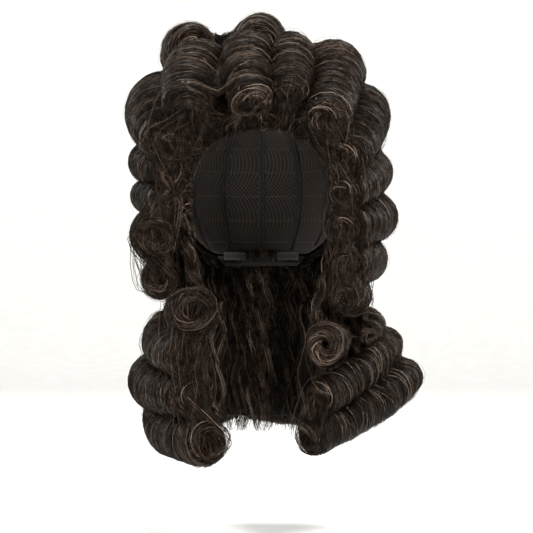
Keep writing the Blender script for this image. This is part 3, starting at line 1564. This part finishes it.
@dataclass
class Curtain:
    """A packed layer of hair behind the parting where a fall hangs from the cap."""

    name: str
    path: Array  # x and y of its middle line
    top: float
    bottom: float
    thick: float = 5 * MM
    per_mm: float = 3.2  # filaments for each millimetre along the middle line

    def build(self, fall: str) -> None:
        """Build the layer so that it bends where the fall swings.

        Args:
            fall: the body that its lower edge follows.
        """
        u, rows = np.linspace(0, 1, 60), 26
        line = at_shares(np.column_stack([self.path, np.zeros(len(self.path))]), u)
        for _ in range(12):
            line[1:-1] = 0.25 * line[:-2] + 0.5 * line[1:-1] + 0.25 * line[2:]
        side = unit(np.cross(np.gradient(line, axis=0), WAY_Z))
        ridge = 0.7 * MM * np.sin(u * 95 + 1.2 * np.sin(u * 31))[:, None]
        base = np.repeat(line[:, None], rows, 1)
        base[..., 2] = np.linspace(self.bottom, self.top, rows)
        half = 0.5 * self.thick * np.sin(np.linspace(0.25, np.pi - 0.25, rows))[None]
        outer = base + (half + ridge)[..., None] * side[:, None]
        inner = base - (half - ridge)[..., None] * side[:, None]
        lay = np.stack([base[..., 2], u[:, None] * 0.15 + 0 * base[..., 0], 0 * base[..., 0]], -1) / MM
        work = Mesh()
        work.shell(outer, inner, lay)
        bend = Bend("cap", fall, self.top - 8 * MM, self.bottom + 6 * MM)
        work.piece(self.name, Finish.MASS, "base_fibre", bend)
        self.filaments(line, side).piece(self.name + "_filaments", Finish.SHADES, "base_fibre", bend)

    def filaments(self, line: Array, side: Array) -> Mesh:
        """Lay waved filaments down both faces.

        Args:
            line: points of the middle line.
            side: the way across it at each point.

        Returns:
            The mesh with the filaments.
        """
        rng = draws(self.name)
        count = int(self.per_mm * run_of(line) / MM)
        each, last = partial(rng.uniform, size=(count, 1)), len(line) - 1
        t = np.linspace(0, 1, 12)[None]
        place = each(1, last - 1)
        lock = 2.3 * np.floor(place / 2.2)
        place = place + 0.9 * np.sin(7 * t + lock) + rng.normal(0, 0.4, (count, 1)) * t
        place = np.clip(place, 0, last)
        points, ways = at_shares(line, place / last), at_shares(side, place / last)
        face = np.where(rng.random((count, 1)) < 0.5, -1.0, 1.0)
        off = face * (0.5 * self.thick + each(0.2, 1.6) * MM + 0.8 * MM * np.cos(7 * t + lock))
        high = self.top + each(-3, 5) * MM
        low = self.bottom + each(-14, 6) * MM
        paths = points + off[..., None] * ways
        paths[..., 2] = high + (low - high) * t
        tone = by_clump(rng, place[:, 0] * 1.7, 0.8) + rng.normal(1.4, 0.7, count)
        widths = 0.27 * MM * each(0.7, 1.3) * (1 - 0.5 * t**3)
        work = Mesh()
        work.hairs(paths, ways * face[..., None], widths, tone)
        return work


def packed_fall(node: str, body: str) -> None:
    """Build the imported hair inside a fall: its faceted solid, smoothed, with its fibres downwards.

    Args:
        node: the solid's node.
        body: the body that it rides on.
    """
    rough = bpy.data.objects.new(node + "_rough", frame["nodes"][node].data.copy())
    bpy.context.scene.collection.objects.link(rough)
    rough.modifiers.new("weld", "WELD").merge_threshold = 0.01 * MM
    smooth = rough.modifiers.new("smooth", "SUBSURF")
    smooth.levels = smooth.render_levels = 2
    mesh = bpy.data.meshes.new_from_object(rough.evaluated_get(bpy.context.evaluated_depsgraph_get()))
    bpy.data.objects.remove(rough)
    mesh.name = node + "_core"
    mesh.materials.clear()
    x, y, z = corners(mesh).T / MM
    add_piece(mesh, Finish.MASS, body, (node,), np.stack([z, x + y, 0 * z], 1))


# The cap


@dataclass
class Cap:
    """The sewn cap: net panels, band lace, ribbons, nape elastic, tabs, stays and adjusters."""

    head: HeadForm
    inset: float = 0.1 * MM  # how far a cloth face stays inside its solid
    stitch: float = 0.22 * MM  # half the width of a sewing thread
    stitch_step: float = 3.2  # millimetres between the points of a zigzag stitch
    shortest_weft: float = 20.0  # degrees
    split_above: float = 52.0  # degrees up, above which a weft goes round in two halves

    def cloth(self, node: str, finish: Finish, slot: str, body: str, columns: int, rows: int,
              dome: bool = False) -> tuple[bpy.types.Object, float]:
        """Build one cloth panel, a closed thin shell on the head.

        Args:
            node: the CAD node that it stands for.
            finish: its finish.
            slot: the record's material slot.
            body: the body that it rides on.
            columns: columns of its grid.
            rows: rows of its grid.
            dome: True where it closes over the top of the head.

        Returns:
            The piece and the area of one of its faces.
        """
        panel = Panel.of(self.head, node)
        bottom = float(panel.theta.min())
        grid = dome_grid(bottom, 89.7, columns, rows) if dome else panel.grid(columns, rows)
        low = max(float(panel.height.min()), 0.0) + self.inset
        high = float(np.median(panel.height[panel.height > panel.height.mean()])) - self.inset
        work = Mesh()
        cover(work, self.head, grid, high, low, dome=dome)
        made = work.piece(node + "_cloth", finish, slot, body, (node,))
        inner = self.head.point(*grid, low)
        legs = [np.diff(inner, axis=0)[:, :-1], np.diff(inner, axis=1)[:-1]]
        return made, float(np.linalg.norm(np.cross(*legs), axis=-1).sum())

    def zigzag(self, work: Mesh, phi: tuple[float, float], theta: tuple[float, float], height: float,
               swing: float) -> None:
        """Sew a zigzag stitch along a line round or up the head.

        Args:
            work: the mesh that it goes into.
            phi: angles round, of the line's ends; the same twice where the line runs up.
            theta: angles up, of the line's ends.
            height: height above the head.
            swing: half the stitch's width, in degrees.
        """
        ends = self.head.point(np.array(phi), np.array(theta), height)
        radius = float(self.head.axes.mean())
        reach = max(np.linalg.norm(ends[1] - ends[0]), radius * abs(math.radians(phi[1] - phi[0])) * 0.8)
        count = max(4, int(reach / MM / self.stitch_step))
        lines = np.linspace((phi[0], theta[0]), (phi[1], theta[1]), count + 1).T
        lines[0 if phi[0] == phi[1] else 1] += np.where(np.arange(count + 1) % 2 == 0, swing, -swing)
        points = self.head.point(*lines, height)
        paths = np.stack([points[:-1], 0.5 * (points[:-1] + points[1:]), points[1:]], 1)
        ups = np.repeat(self.head.out(*lines)[:-1, None], 3, 1)
        work.tubes(paths, ups, np.full(paths.shape[:2], self.stitch), 0, sides=4)

    def nets(self) -> None:
        """Build the crown and back nets and the band, and say what each was cut to."""
        crown, area = self.cloth("crown_net", Finish.NET, "cap_net", "cap", 96, 18, dome=True)
        back, area = self.cloth("back_net", Finish.NET, "cap_net", "cap", 150, 40)
        band, area = self.cloth("front_band", Finish.LACE, "band_lace", "cap", 64, 10)

    def ribbons(self) -> None:
        """Build the elastic ribbons inside the nets, ribbed along their length."""
        panel = Panel.of(self.head, "cap_ribbons")
        work, stitches = Mesh(), Mesh()
        low, high = float(panel.height.min()), float(panel.height.max())
        stations = np.unique(np.round(panel.phi, 1))
        ribs = 0.12 * MM * (np.arange(9) % 2)[:, None]
        for left, right in zip(stations[::2], stations[1::2]):
            theta = panel.theta[np.abs(panel.phi - left) < 0.2]
            bottom, top = float(theta.min()), float(theta.max())
            grid = patch(left, right, bottom, top, 9, 40)
            cover(work, self.head, grid, high - self.inset, low + 0.15 * MM + ribs, upright=True)
            for edge in (left + 0.9, right - 0.9):
                self.zigzag(stitches, (edge, edge), (bottom + 1, top - 1), low + 0.05 * MM, 0.55)
        work.piece("cap_ribbons_elastic", Finish.ELASTIC, "elastic", "cap", ("cap_ribbons",))
        stitches.piece("ribbon_stitches", Finish.THREAD, "elastic", "cap")

    def wefts(self) -> None:
        """Dress the wefts and sew each of them through the net."""
        phi, theta, height = self.head.angles(node_points("weft_rows"))
        low, high = float(height.min()), float(height.max())
        levels = np.unique(np.round(theta[height < height.mean()], 0))
        rows = [level for level in levels if level + 2 in levels or level + 3 in levels]
        halves = [(2.0, 178.0), (182.0, 358.0)]
        ridges = 0.2 * MM * (np.arange(5) % 2)[None]
        work, stitches = Mesh(), Mesh()
        for level in rows:
            round_it = phi[np.abs(theta - level) < 0.6] % 360
            start, end = float(round_it.min()), float(round_it.max())
            if end - start < self.shortest_weft:
                continue
            for a, b in [(start, end)] if level < self.split_above else halves:
                self.zigzag(stitches, (a, b), (level + 1.1, level + 1.1), -0.12 * MM, 0.7)
                grid = patch(a, b, level, level + 2.2, 90, 5)
                cover(work, self.head, grid, high - ridges, low)
        work.piece("weft_rows_binding", Finish.BINDING, "weft_binding", "cap", ("weft_rows",))
        stitches.piece("weft_stitches", Finish.THREAD, "weft_binding", "cap")

    def nape(self) -> None:
        """Build the nape elastic, its hook pockets and its stitching."""
        panel = Panel.of(self.head, "nape_band")
        main = panel.height > -0.05 * MM
        band = Panel(panel.phi[main], panel.theta[main], panel.height[main])
        work, stitches = Mesh(), Mesh()
        ribs = 0.15 * MM * (np.arange(13) % 2)[None]
        outer = float(band.height.max()) - self.inset - ribs
        cover(work, self.head, band.grid(80, 13), outer, ribs + self.inset)
        for level in (float(band.theta.min()) + 1.2, float(band.theta.max()) - 1.2):
            ends = (band.phi.min() + 1, band.phi.max() - 1)
            self.zigzag(stitches, ends, (level, level), -0.05 * MM, 0.5)
        pocket, theta = np.round(panel.phi[~main], 1), panel.theta[~main]
        bottom, top = float(theta.min()), float(theta.max())
        bulge = 0.5 * MM * np.sin(np.linspace(0, np.pi, 9))[:, None]
        stations = np.unique(pocket)
        for left, right in zip(stations[::2], stations[1::2]):
            grid = patch(left, right, bottom, top, 9, 9)
            cover(work, self.head, grid, -0.15 * MM, -0.7 * MM - bulge)
            for edge in (left + 0.25, right - 0.25):
                self.zigzag(stitches, (edge, edge), (bottom + 0.3, top - 0.3), -0.95 * MM, 0.18)
        work.piece("nape_band_elastic", Finish.ELASTIC, "elastic", "cap", ("nape_band",))
        stitches.piece("nape_stitches", Finish.THREAD, "elastic", "cap")

    def tabs(self) -> None:
        """Build both ear tabs, their stitched edges and the stays in them."""
        for side in SIDES:
            body = side + "_tab"
            tab, area = self.cloth(side + "_ear_tab", Finish.LACE, "band_lace", body, 24, 20)
            panel = Panel.of(self.head, side + "_ear_tab")
            stitches = Mesh()
            phi = np.linspace(panel.phi.min() + 0.8, panel.phi.max() - 0.8, 9)
            low = panel.edge(phi, False) + 1.0
            for ends, levels in zip(zip(phi, phi[1:]), zip(low, low[1:])):
                self.zigzag(stitches, ends, levels, -0.05 * MM, 0.4)
            for edge in (phi[0], phi[-1]):
                ends = (float(low[0]), float(panel.theta.max()) - 0.6)
                self.zigzag(stitches, (edge, edge), ends, -0.05 * MM, 0.4)
            stitches.piece(side + "_tab_stitches", Finish.THREAD, "band_lace", body)
            stay = Panel.of(self.head, side + "_tab_stay")
            round_off = 0.45 * MM * (1 - taper(np.linspace(0, 1, 9)[:, None], 0, 0.6))
            work = Mesh()
            inner = float(stay.height.min()) + round_off
            cover(work, self.head, stay.grid(9, 24), float(stay.height.max()), inner)
            work.piece(side + "_tab_stay_strip", Finish.NYLON, "stay_plastic", body, (side + "_tab_stay",))

    def adjusters(self) -> None:
        """Build the two nape straps with their ribs and moulded hooks."""
        for side, sign in SIDES.items():
            body = side + "_strap"
            points = node_points(side + "_adjuster")
            way = np.array([sign, -1.0, 0.0]) / math.sqrt(2)  # from the hook to the sewn end
            out = np.array([sign, 1.0, 0.0]) / math.sqrt(2)
            along, depth = points @ way, points @ out
            low, high = float(points[:, 2].min()), float(points[:, 2].max())
            lower = np.abs(points[:, 2] - low) < 0.1 * MM
            start, end = float(along[lower].min()), float(along[lower].max())
            inner, outer = float(depth[lower].min()), float(depth[lower].max())
            aa, hh = patch(start, end, low, high, 40, 13)
            ribs = 0.12 * MM * (np.arange(13) % 2)[None] + 0 * aa
            height = hh[..., None] * WAY_Z
            faces = (outer - ribs, inner + ribs)
            grids = [aa[..., None] * way + face[..., None] * out + height for face in faces]
            lay = np.stack([aa / MM, hh / MM, 0 * aa], -1)
            order = int(sign)  # keeps the faces outwards on both sides
            strap = Mesh()
            strap.shell(*(grid[::order] for grid in grids), lay[::order])
            strap.piece(side + "_adjuster_strap", Finish.ELASTIC, "elastic", body, (side + "_adjuster",))
            run = np.linspace(start + 1 * MM, end - 1 * MM, 15)
            zigzag = 0.6 * MM * np.where(np.arange(15) % 2 == 0, 1, -1)
            sewn = Mesh()
            for level in (low + 1.3 * MM, high - 1.3 * MM):
                path = run[:, None] * way + (inner - 0.05 * MM) * out + (level + zigzag)[:, None] * WAY_Z
                legs = np.stack([path[:-1], 0.5 * (path[:-1] + path[1:]), path[1:]], 1)
                sewn.tubes(legs, out + 0 * legs, np.full(legs.shape[:2], self.stitch), 0, sides=4)
            sewn.piece(side + "_adjuster_stitches", Finish.THREAD, "elastic", body)
            tip, face = float(along.min()), 0.5 * (inner + outer)
            lip = float(depth.max()) - 0.6 * MM
            bends = np.array([
                [start + 3 * MM, face], [start, face], [tip + 1.6 * MM, face],
                [tip + 0.6 * MM, face + 0.3 * MM], [tip + 0.6 * MM, lip - 0.4 * MM], [tip + 1.0 * MM, lip],
            ])
            path = bends[:, :1] * way + bends[:, 1:] * out + 0.5 * (low + high) * WAY_Z
            loops = np.stack([path + s * 1.4 * MM * WAY_Z for s in (-1, 1)])
            bars = np.stack([loops[:, k] for k in (0, 1, 5)])
            hook = Mesh()
            for wires, up in ((loops, WAY_Z), (bars, out)):
                wire = np.full(wires.shape[:2], 0.5 * MM)
                hook.tubes(wires, up + 0 * wires, wire, 0, sides=10, flat=1.0)
            hook.piece(side + "_adjuster_hook", Finish.NYLON, "stay_plastic", body)

    def build(self) -> None:
        """Build the whole cap."""
        self.nets()
        self.ribbons()
        self.wefts()
        self.nape()
        self.tabs()
        self.adjusters()


# The wig


def hinge_height(body: str) -> float:
    """Return the height of the hinge that a body hangs from."""
    joints = frame["record"]["behaviour"]["joints"]
    return next(joint["pos_m"][2] for joint in joints if joint["child"] == body)


@dataclass
class SideHair:
    """The hair that hangs down one side, in front of its rolls and behind them."""

    head: HeadForm
    rolls: dict[str, Roll]
    side: str
    sign: float  # -1 on the right and 1 on the left
    lock_width: int = 12  # filaments in one lock of the hair behind the rolls

    def hanging(self) -> None:
        """Build the hair that the fall hangs from."""
        sign, body = self.sign, self.side + "_fall"
        node = body + "_hair"
        packed_fall(node, body)
        low, high = node_box(node)
        middle = 0.5 * (low + high)
        line = np.array([
            self.head.point(np.array(sign * 92.0), np.array(-18.0), 5 * MM),
            [middle[0], middle[1], high[2]],
            middle,
            [middle[0] - sign * 4 * MM, middle[1] - 4 * MM, low[2] - 2 * MM],
        ])
        half = 0.5 * (high[0] - low[0])
        spread = np.array([[22 * MM, 2 * MM], [21 * MM, half], [22 * MM, half], [17 * MM, half]])
        hinge = hinge_height(body)
        bend = Bend("cap", body, hinge + 20 * MM, hinge - 12 * MM)
        hair = Hank(node + "_filaments", line, spread, WAY_Y, locks=54, per_lock=12, on_faces=True)
        hair.build(bend, replaces=(node,))

    def beside_face(self) -> None:
        """Build the locks and the loose hairs between the face and the rolls."""
        side, sign, body = self.side, self.sign, self.side + "_fall"
        curl = self.rolls[side + "_front_curl"].form
        x, y, z = curl.frame_at(1)[0]
        line = np.array([
            self.head.point(np.array(sign * 63.0), np.array(2.0), 6 * MM),
            self.head.point(np.array(sign * 66.0), np.array(-26.0), 9 * MM) - 6 * MM * WAY_Y,
            [x - sign * 1 * MM, y + 22 * MM, 0.5 * (z - 0.04)],
            [x - sign * 0.7 * curl.radius_at(1), y + 16 * MM, z],
        ])
        spread = np.array([[5, 3], [8, 4], [9, 4], [7, 4]]) * MM
        hinge = hinge_height(body)
        bend = Bend("cap", body, hinge + 22 * MM, hinge - 4 * MM)
        locks = Hank(side + "_face_locks", line, spread, WAY_Y, locks=12, per_lock=13, wavelength=34 * MM)
        locks.build(bend)
        edge = sign * (float(np.abs(node_box(body + "_hair")[:, 0]).min()) + 3 * MM)
        front = node_box(body + "_roll_2")[0, 1] + 12 * MM
        top, bottom = node_box(body + "_roll_1")[1, 2], node_box(body + "_roll_3")[0, 2]
        roots = np.array([[edge, front, top], [edge, front, bottom + 8 * MM]])
        way = np.array([-sign, -0.3, 0.0])
        Wisps(body + "_wisps", body, roots, way, count=100 if side == "left" else 50, loop=8 * MM).build()
        Wisps(side + "_face_wisps", "cap", line[:2], way).build()

    def behind_rolls(self) -> None:
        """Build the hair that hangs behind a fall's rolls."""
        side, sign = self.side, self.sign
        forms = [self.rolls[f"{side}_fall_roll_{i}"].form for i in (1, 2, 3)]
        line = [form.frame_at(0.55)[0] - sign * 0.8 * form.radius_at(0.5) * WAY_X for form in forms]
        line = np.array([line[0] + np.array([-sign * 3 * MM, 0, 24 * MM]), *line])
        spread = np.array([[22, 5], [30, 7], [30, 8], [22, 5]]) * MM
        Hank(side + "_inner_locks", line, spread, WAY_Y, locks=44, per_lock=self.lock_width, packed=0.8,
             on_faces=True).build(side + "_fall")

    def back_edge(self) -> None:
        """Build the locks down one edge of the back fall, inside its rolls' outer ends."""
        side, sign = self.side, self.sign
        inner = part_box("back_fall_hair")[1].x - 5 * MM
        line, spread = [], []
        for i in (1, 2, 3):
            name = f"back_fall_roll_{i}_{side}"
            low, high = node_box(name)
            reach = far_side(name) - 3 * MM
            line.append([sign * 0.5 * (inner + reach), low[1] + 9 * MM, 0.5 * (low[2] + high[2])])
            spread.append([0.5 * (reach - inner), 5 * MM])
        line = np.array([line[0], *line, line[2]])
        line[0] += np.array([0, -2 * MM, 22 * MM])
        line[-1] -= 15 * MM * WAY_Z
        spread = np.array([spread[0], *spread, spread[2]])
        Hank(side + "_back_edge_locks", line, spread, WAY_X, locks=40, per_lock=self.lock_width, packed=1.0,
             on_faces=True).build("back_fall")

    def seam_line(self, names: list[str], y: float, inset: float) -> Array:
        """Lead a line down the outer ends of some back rows.

        Args:
            names: the rows' nodes, without the side.
            y: how far back it runs.
            inset: how far inside the rows' ends it runs.

        Returns:
            The line, with one more point above and one below.
        """
        line = []
        for node in (f"{name}_{self.side}" for name in names):
            line.append([self.sign * (far_side(node) - inset), y, 0.5 * node_box(node)[:, 2].sum()])
        return np.array([line[0], *line, line[-1]])

    def seam_locks(self) -> None:
        """Build the waved locks that fill the seam between the side rolls and the back rows."""
        side = self.side
        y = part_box(f"{side}_side_roll_2")[1].y + 4 * MM
        line = self.seam_line(["back_roll_1", "back_roll_3", "back_roll_5"], y, 2 * MM)
        line[1, 0] *= 0.93
        line[0] = line[1] * np.array([0.86, 1, 1]) + np.array([0, -4 * MM, 26 * MM])
        line[-1] -= 22 * MM * WAY_Z
        spread = np.array([[6, 2], [11, 5], [11, 6], [11, 6], [10, 5]]) * MM
        Hank(side + "_seam_locks", line, spread, WAY_Y, locks=44, per_lock=13, wavelength=40 * MM, tone=1.6,
             packed=0.9).build("cap")
        line = self.seam_line(["back_fall_roll_1", "back_fall_roll_3"], y + 1 * MM, 7 * MM)
        line[0] = line[0] * np.array([0.97, 1, 1]) + np.array([0, -3 * MM, 26 * MM])
        line[-1] += np.array([0, -3 * MM, -18 * MM])
        spread = np.array([[10, 6], [14, 7], [14, 7], [10, 5]]) * MM
        Hank(side + "_fall_seam_locks", line, spread, WAY_Y, locks=40, per_lock=13, wavelength=40 * MM,
             tone=1.6, packed=1.0).build(side + "_fall")

    def curtain(self) -> None:
        """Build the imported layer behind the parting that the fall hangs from."""
        sign = self.sign
        path = np.array([[sign * 63, -50], [sign * 73, -24], [sign * 79, 20], [sign * 76, 66]]) * MM
        Curtain(self.side + "_curtain", path, top=-0.058, bottom=-0.122).build(self.side + "_fall")


@dataclass
class Wig:
    """The whole wig."""

    head: HeadForm

    def rolls(self) -> dict[str, Roll]:
        """Build every roll that the frame holds, and the filaments between neighbours.

        Returns:
            The rolls by name.
        """
        made = {}
        for body, members in frame["record"]["behaviour"]["bodies"].items():
            for node in members:
                if "roll" in node or "curl" in node:
                    made[node] = Roll(node, body, self.head)
                    made[node].build()
        both = (Facing.OUTWARD, Facing.FORWARD)
        crown = ["right_crown_roll", "centre_crown_roll", "left_crown_inner_roll", "left_crown_roll"]
        rear = ["right_crown_rear_roll", "centre_crown_rear_roll", "left_crown_rear_roll"]
        chains = [(crown, both[:1])]
        for side in SIDES:
            sides = [f"{side}_side_roll_{i}" for i in range(1, 5)]
            chains.append(([f"{side}_crown_roll", f"{side}_temple_roll", *sides], both))
        chains.append((rear, both[:1]))
        for side in SIDES:
            chains.append(([f"{side}_front_curl"] + [f"{side}_fall_roll_{i}" for i in range(1, 4)], both))
            chains.append(([f"back_roll_{i}_{side}" for i in range(1, 6)], both[:1]))
            chains.append(([f"back_fall_roll_{i}_{side}" for i in range(1, 4)], both[:1]))
        for chain, facings in chains:
            for first, second in zip(chain, chain[1:]):
                dip = 80.0 if "crown" in first else 70.0
                Bridge(made[first], made[second], dip=dip).build(facings)
        return made

    def brushed(self, rolls: dict[str, Roll]) -> None:
        """Build the brushed base hair and the hairline.

        Args:
            rolls: the rolls that the hairline is swept into.
        """
        flows = (("crown", 14, -26, 1500), ("right", -12, -24, 1100), ("left", 12, -24, 1100),
                 ("back", 3, -30, 1600))
        for place, flow_round, flow_up, count in flows:
            BrushedHair(place + "_base_hair", self.head, flow_round, flow_up, count).build()
        on_cap = [roll for roll in rolls.values() if roll.body == "cap"]
        front = [roll for roll in on_cap if "back" not in roll.name and "rear" not in roll.name]
        Hairline(self.head, front).build()

    def back_fall(self) -> None:
        """Build the hair behind the neck and the curtain that it hangs from."""
        path = np.array([[-70, 70], [-40, 85], [0, 90], [40, 85], [70, 70]]) * MM
        Curtain("back_curtain", path, top=-0.052, bottom=-0.118).build("back_fall")
        packed_fall("back_fall_hair", "back_fall")
        low, high = node_box("back_fall_hair")
        y, top, bottom = 0.5 * (low[1] + high[1]), high[2], low[2]
        line = np.array([[0, y - 3 * MM, top + 40 * MM], [0, y, top], [0, y, 0.5 * (bottom + top)],
                         [0, y, bottom - 15 * MM]])
        half = 0.5 * (high[1] - low[1])
        spread = np.array([[52 * MM, 3 * MM], [60 * MM, half], [60 * MM, half], [54 * MM, half]])
        bend = Bend("cap", "back_fall", top + 14 * MM, top - 20 * MM)
        hair = Hank("back_fall_hair_filaments", line, spread, WAY_X, locks=130, per_lock=14, steps=18,
                    ragged=0.16, on_faces=True)
        hair.build(bend, replaces=("back_fall_hair",))

    def falls(self, rolls: dict[str, Roll]) -> None:
        """Build the hanging hair of both sides and the back, and the locks beside the face.

        Args:
            rolls: the rolls by name.
        """
        sides = [SideHair(self.head, rolls, side, sign) for side, sign in SIDES.items()]
        for one in sides:
            one.hanging()
            one.beside_face()
            one.seam_locks()
            one.behind_rolls()
            one.curtain()
        for one in sides:
            one.back_edge()
        self.back_fall()

    def tufts(self, rolls: dict[str, Roll]) -> None:
        """Build the hair that lies in the valleys between crown rolls.

        Args:
            rolls: the rolls by name.
        """
        pairs = (
            ("right_crown_roll", "centre_crown_roll", 0.12),
            ("right_crown_rear_roll", "centre_crown_rear_roll", 0.28),
            ("centre_crown_rear_roll", "left_crown_rear_roll", 0.2),
        )
        for first, second, rise in pairs:
            x = np.linspace(0.08, 0.95, 5)
            forms = [rolls[name].form for name in (first, second)]
            one, two = (form.frames(x * form.length)[0] for form in forms)
            r = min(form.radius_at(0.5) for form in forms)
            middle = 0.5 * (one + two)
            line = middle + rise * r * unit(middle - self.head.middle)
            gap = np.linalg.norm(one - two, axis=1, keepdims=True)
            spread = np.concatenate([0.24 * gap, 0 * gap + 0.3 * r], 1)
            Hank(first.replace("_roll", "") + "_valley_tuft", line, spread, unit(two - one).mean(0), locks=22,
                 per_lock=13, wave=2 * MM, wavelength=60 * MM, packed=0.9).build("cap")

    def build(self) -> None:
        """Build the cap, then the hair on it."""
        Cap(self.head).build()
        rolls = self.rolls()
        self.brushed(rolls)
        self.tufts(rolls)
        self.falls(rolls)


# The studio


@dataclass
class Studio:
    """Seamless paper, soft lights and the camera at the wearer's brow height."""

    camera_place: tuple[float, float, float] = (0.005, -2.085, -0.068)
    field_width: float = 0.48
    field_distance: float = 2.0
    floor_gap: float = 0.075
    flat: float = 2.6  # radius of the flat floor
    sweep: float = 0.9  # radius of the paper's curve up into the wall

    def paper(self) -> None:
        """Build the floor and the curved wall all round it as one sheet of paper."""
        floor = float(cad_low.z) - self.floor_gap
        sweep = self.sweep
        outline = [(r, floor) for r in (0.4, 0.8, 1.2, 1.6, 2.0, 2.4)]
        for angle in np.linspace(-np.pi / 2, 0, 14):
            outline.append((self.flat + sweep * math.cos(angle), floor + sweep + sweep * math.sin(angle)))
        outline += [(self.flat + sweep, floor + sweep + 0.25 * i) for i in range(1, 6)]
        turn = np.linspace(0, TURN, 64, endpoint=False)
        grid = np.array([[(r * math.cos(a), r * math.sin(a), z) for a in turn] for r, z in outline])
        number = np.arange(grid.shape[0] * grid.shape[1]).reshape(grid.shape[:2])
        after = np.roll(number, -1, 1)
        faces = np.stack([number[:-1], after[:-1], after[1:], number[1:]], -1).reshape(-1, 4)
        mesh = bpy.data.meshes.new("seamless_paper")
        mesh.from_pydata(grid.reshape(-1, 3).tolist(), [], [*faces.tolist(), number[0][::-1].tolist()])
        mesh.shade_smooth()
        mesh.materials.append(Finish.PAPER.materials()[0])
        made = bpy.data.objects.new("seamless_paper", mesh)
        bpy.context.scene.collection.objects.link(made)

    def light(self, name: str, place: tuple[float, float, float], power: float, size: float,
              colour: str) -> None:
        """Hang one soft light, turned to the wig.

        Args:
            name: the light's name.
            place: where it hangs.
            power: watts.
            size: the side of its square face.
            colour: its sRGB colour.
        """
        data = bpy.data.lights.new(name, "AREA")
        data.energy = power
        data.size = size
        data.color = linear(colour)[:3]
        lamp = bpy.data.objects.new(name, data)
        lamp.location = place
        aim = Vector((0, 0, -0.05)) - Vector(place)
        lamp.rotation_euler = aim.to_track_quat("-Z", "Y").to_euler()
        bpy.context.scene.collection.objects.link(lamp)

    def build(self) -> None:
        """Build the studio."""
        self.paper()
        scene = bpy.context.scene
        world = bpy.data.worlds.new("studio")
        world.use_nodes = True
        back = world.node_tree.nodes["Background"]
        back.inputs["Color"].default_value = linear("fbfbfb")
        back.inputs["Strength"].default_value = 0.28
        scene.world = world
        scene.view_settings.view_transform = "Standard"
        white = "fffefc"
        self.light("key", (0.9, -1.7, 1.6), 88, 0.6, "fffcf8")
        self.light("fill", (-1.4, -1.8, 0.6), 24, 0.9, white)
        self.light("top", (0.0, 0.3, 1.9), 46, 0.8, white)
        self.light("rear_right", (-1.5, 1.2, 0.8), 14, 0.8, white)
        self.light("rear_left", (1.5, 1.2, 0.8), 14, 0.8, white)
        data = bpy.data.cameras.new("camera")
        data.sensor_width = 36.0
        data.lens = data.sensor_width * self.field_distance / self.field_width
        data.clip_start, data.clip_end = 0.05, 30.0
        camera = bpy.data.objects.new("camera", data)
        camera.location = self.camera_place
        camera.rotation_euler = (math.pi / 2, 0, 0)
        scene.collection.objects.link(camera)
        scene.camera = camera


def main() -> None:
    """Build the studio and the wig."""
    logging.basicConfig(level=logging.INFO, format="%(message)s")
    Studio().build()
    head = HeadForm.from_nodes("crown_net", "back_net")
    Wig(head).build()
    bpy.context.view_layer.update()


if __name__ == "__main__":
    main()
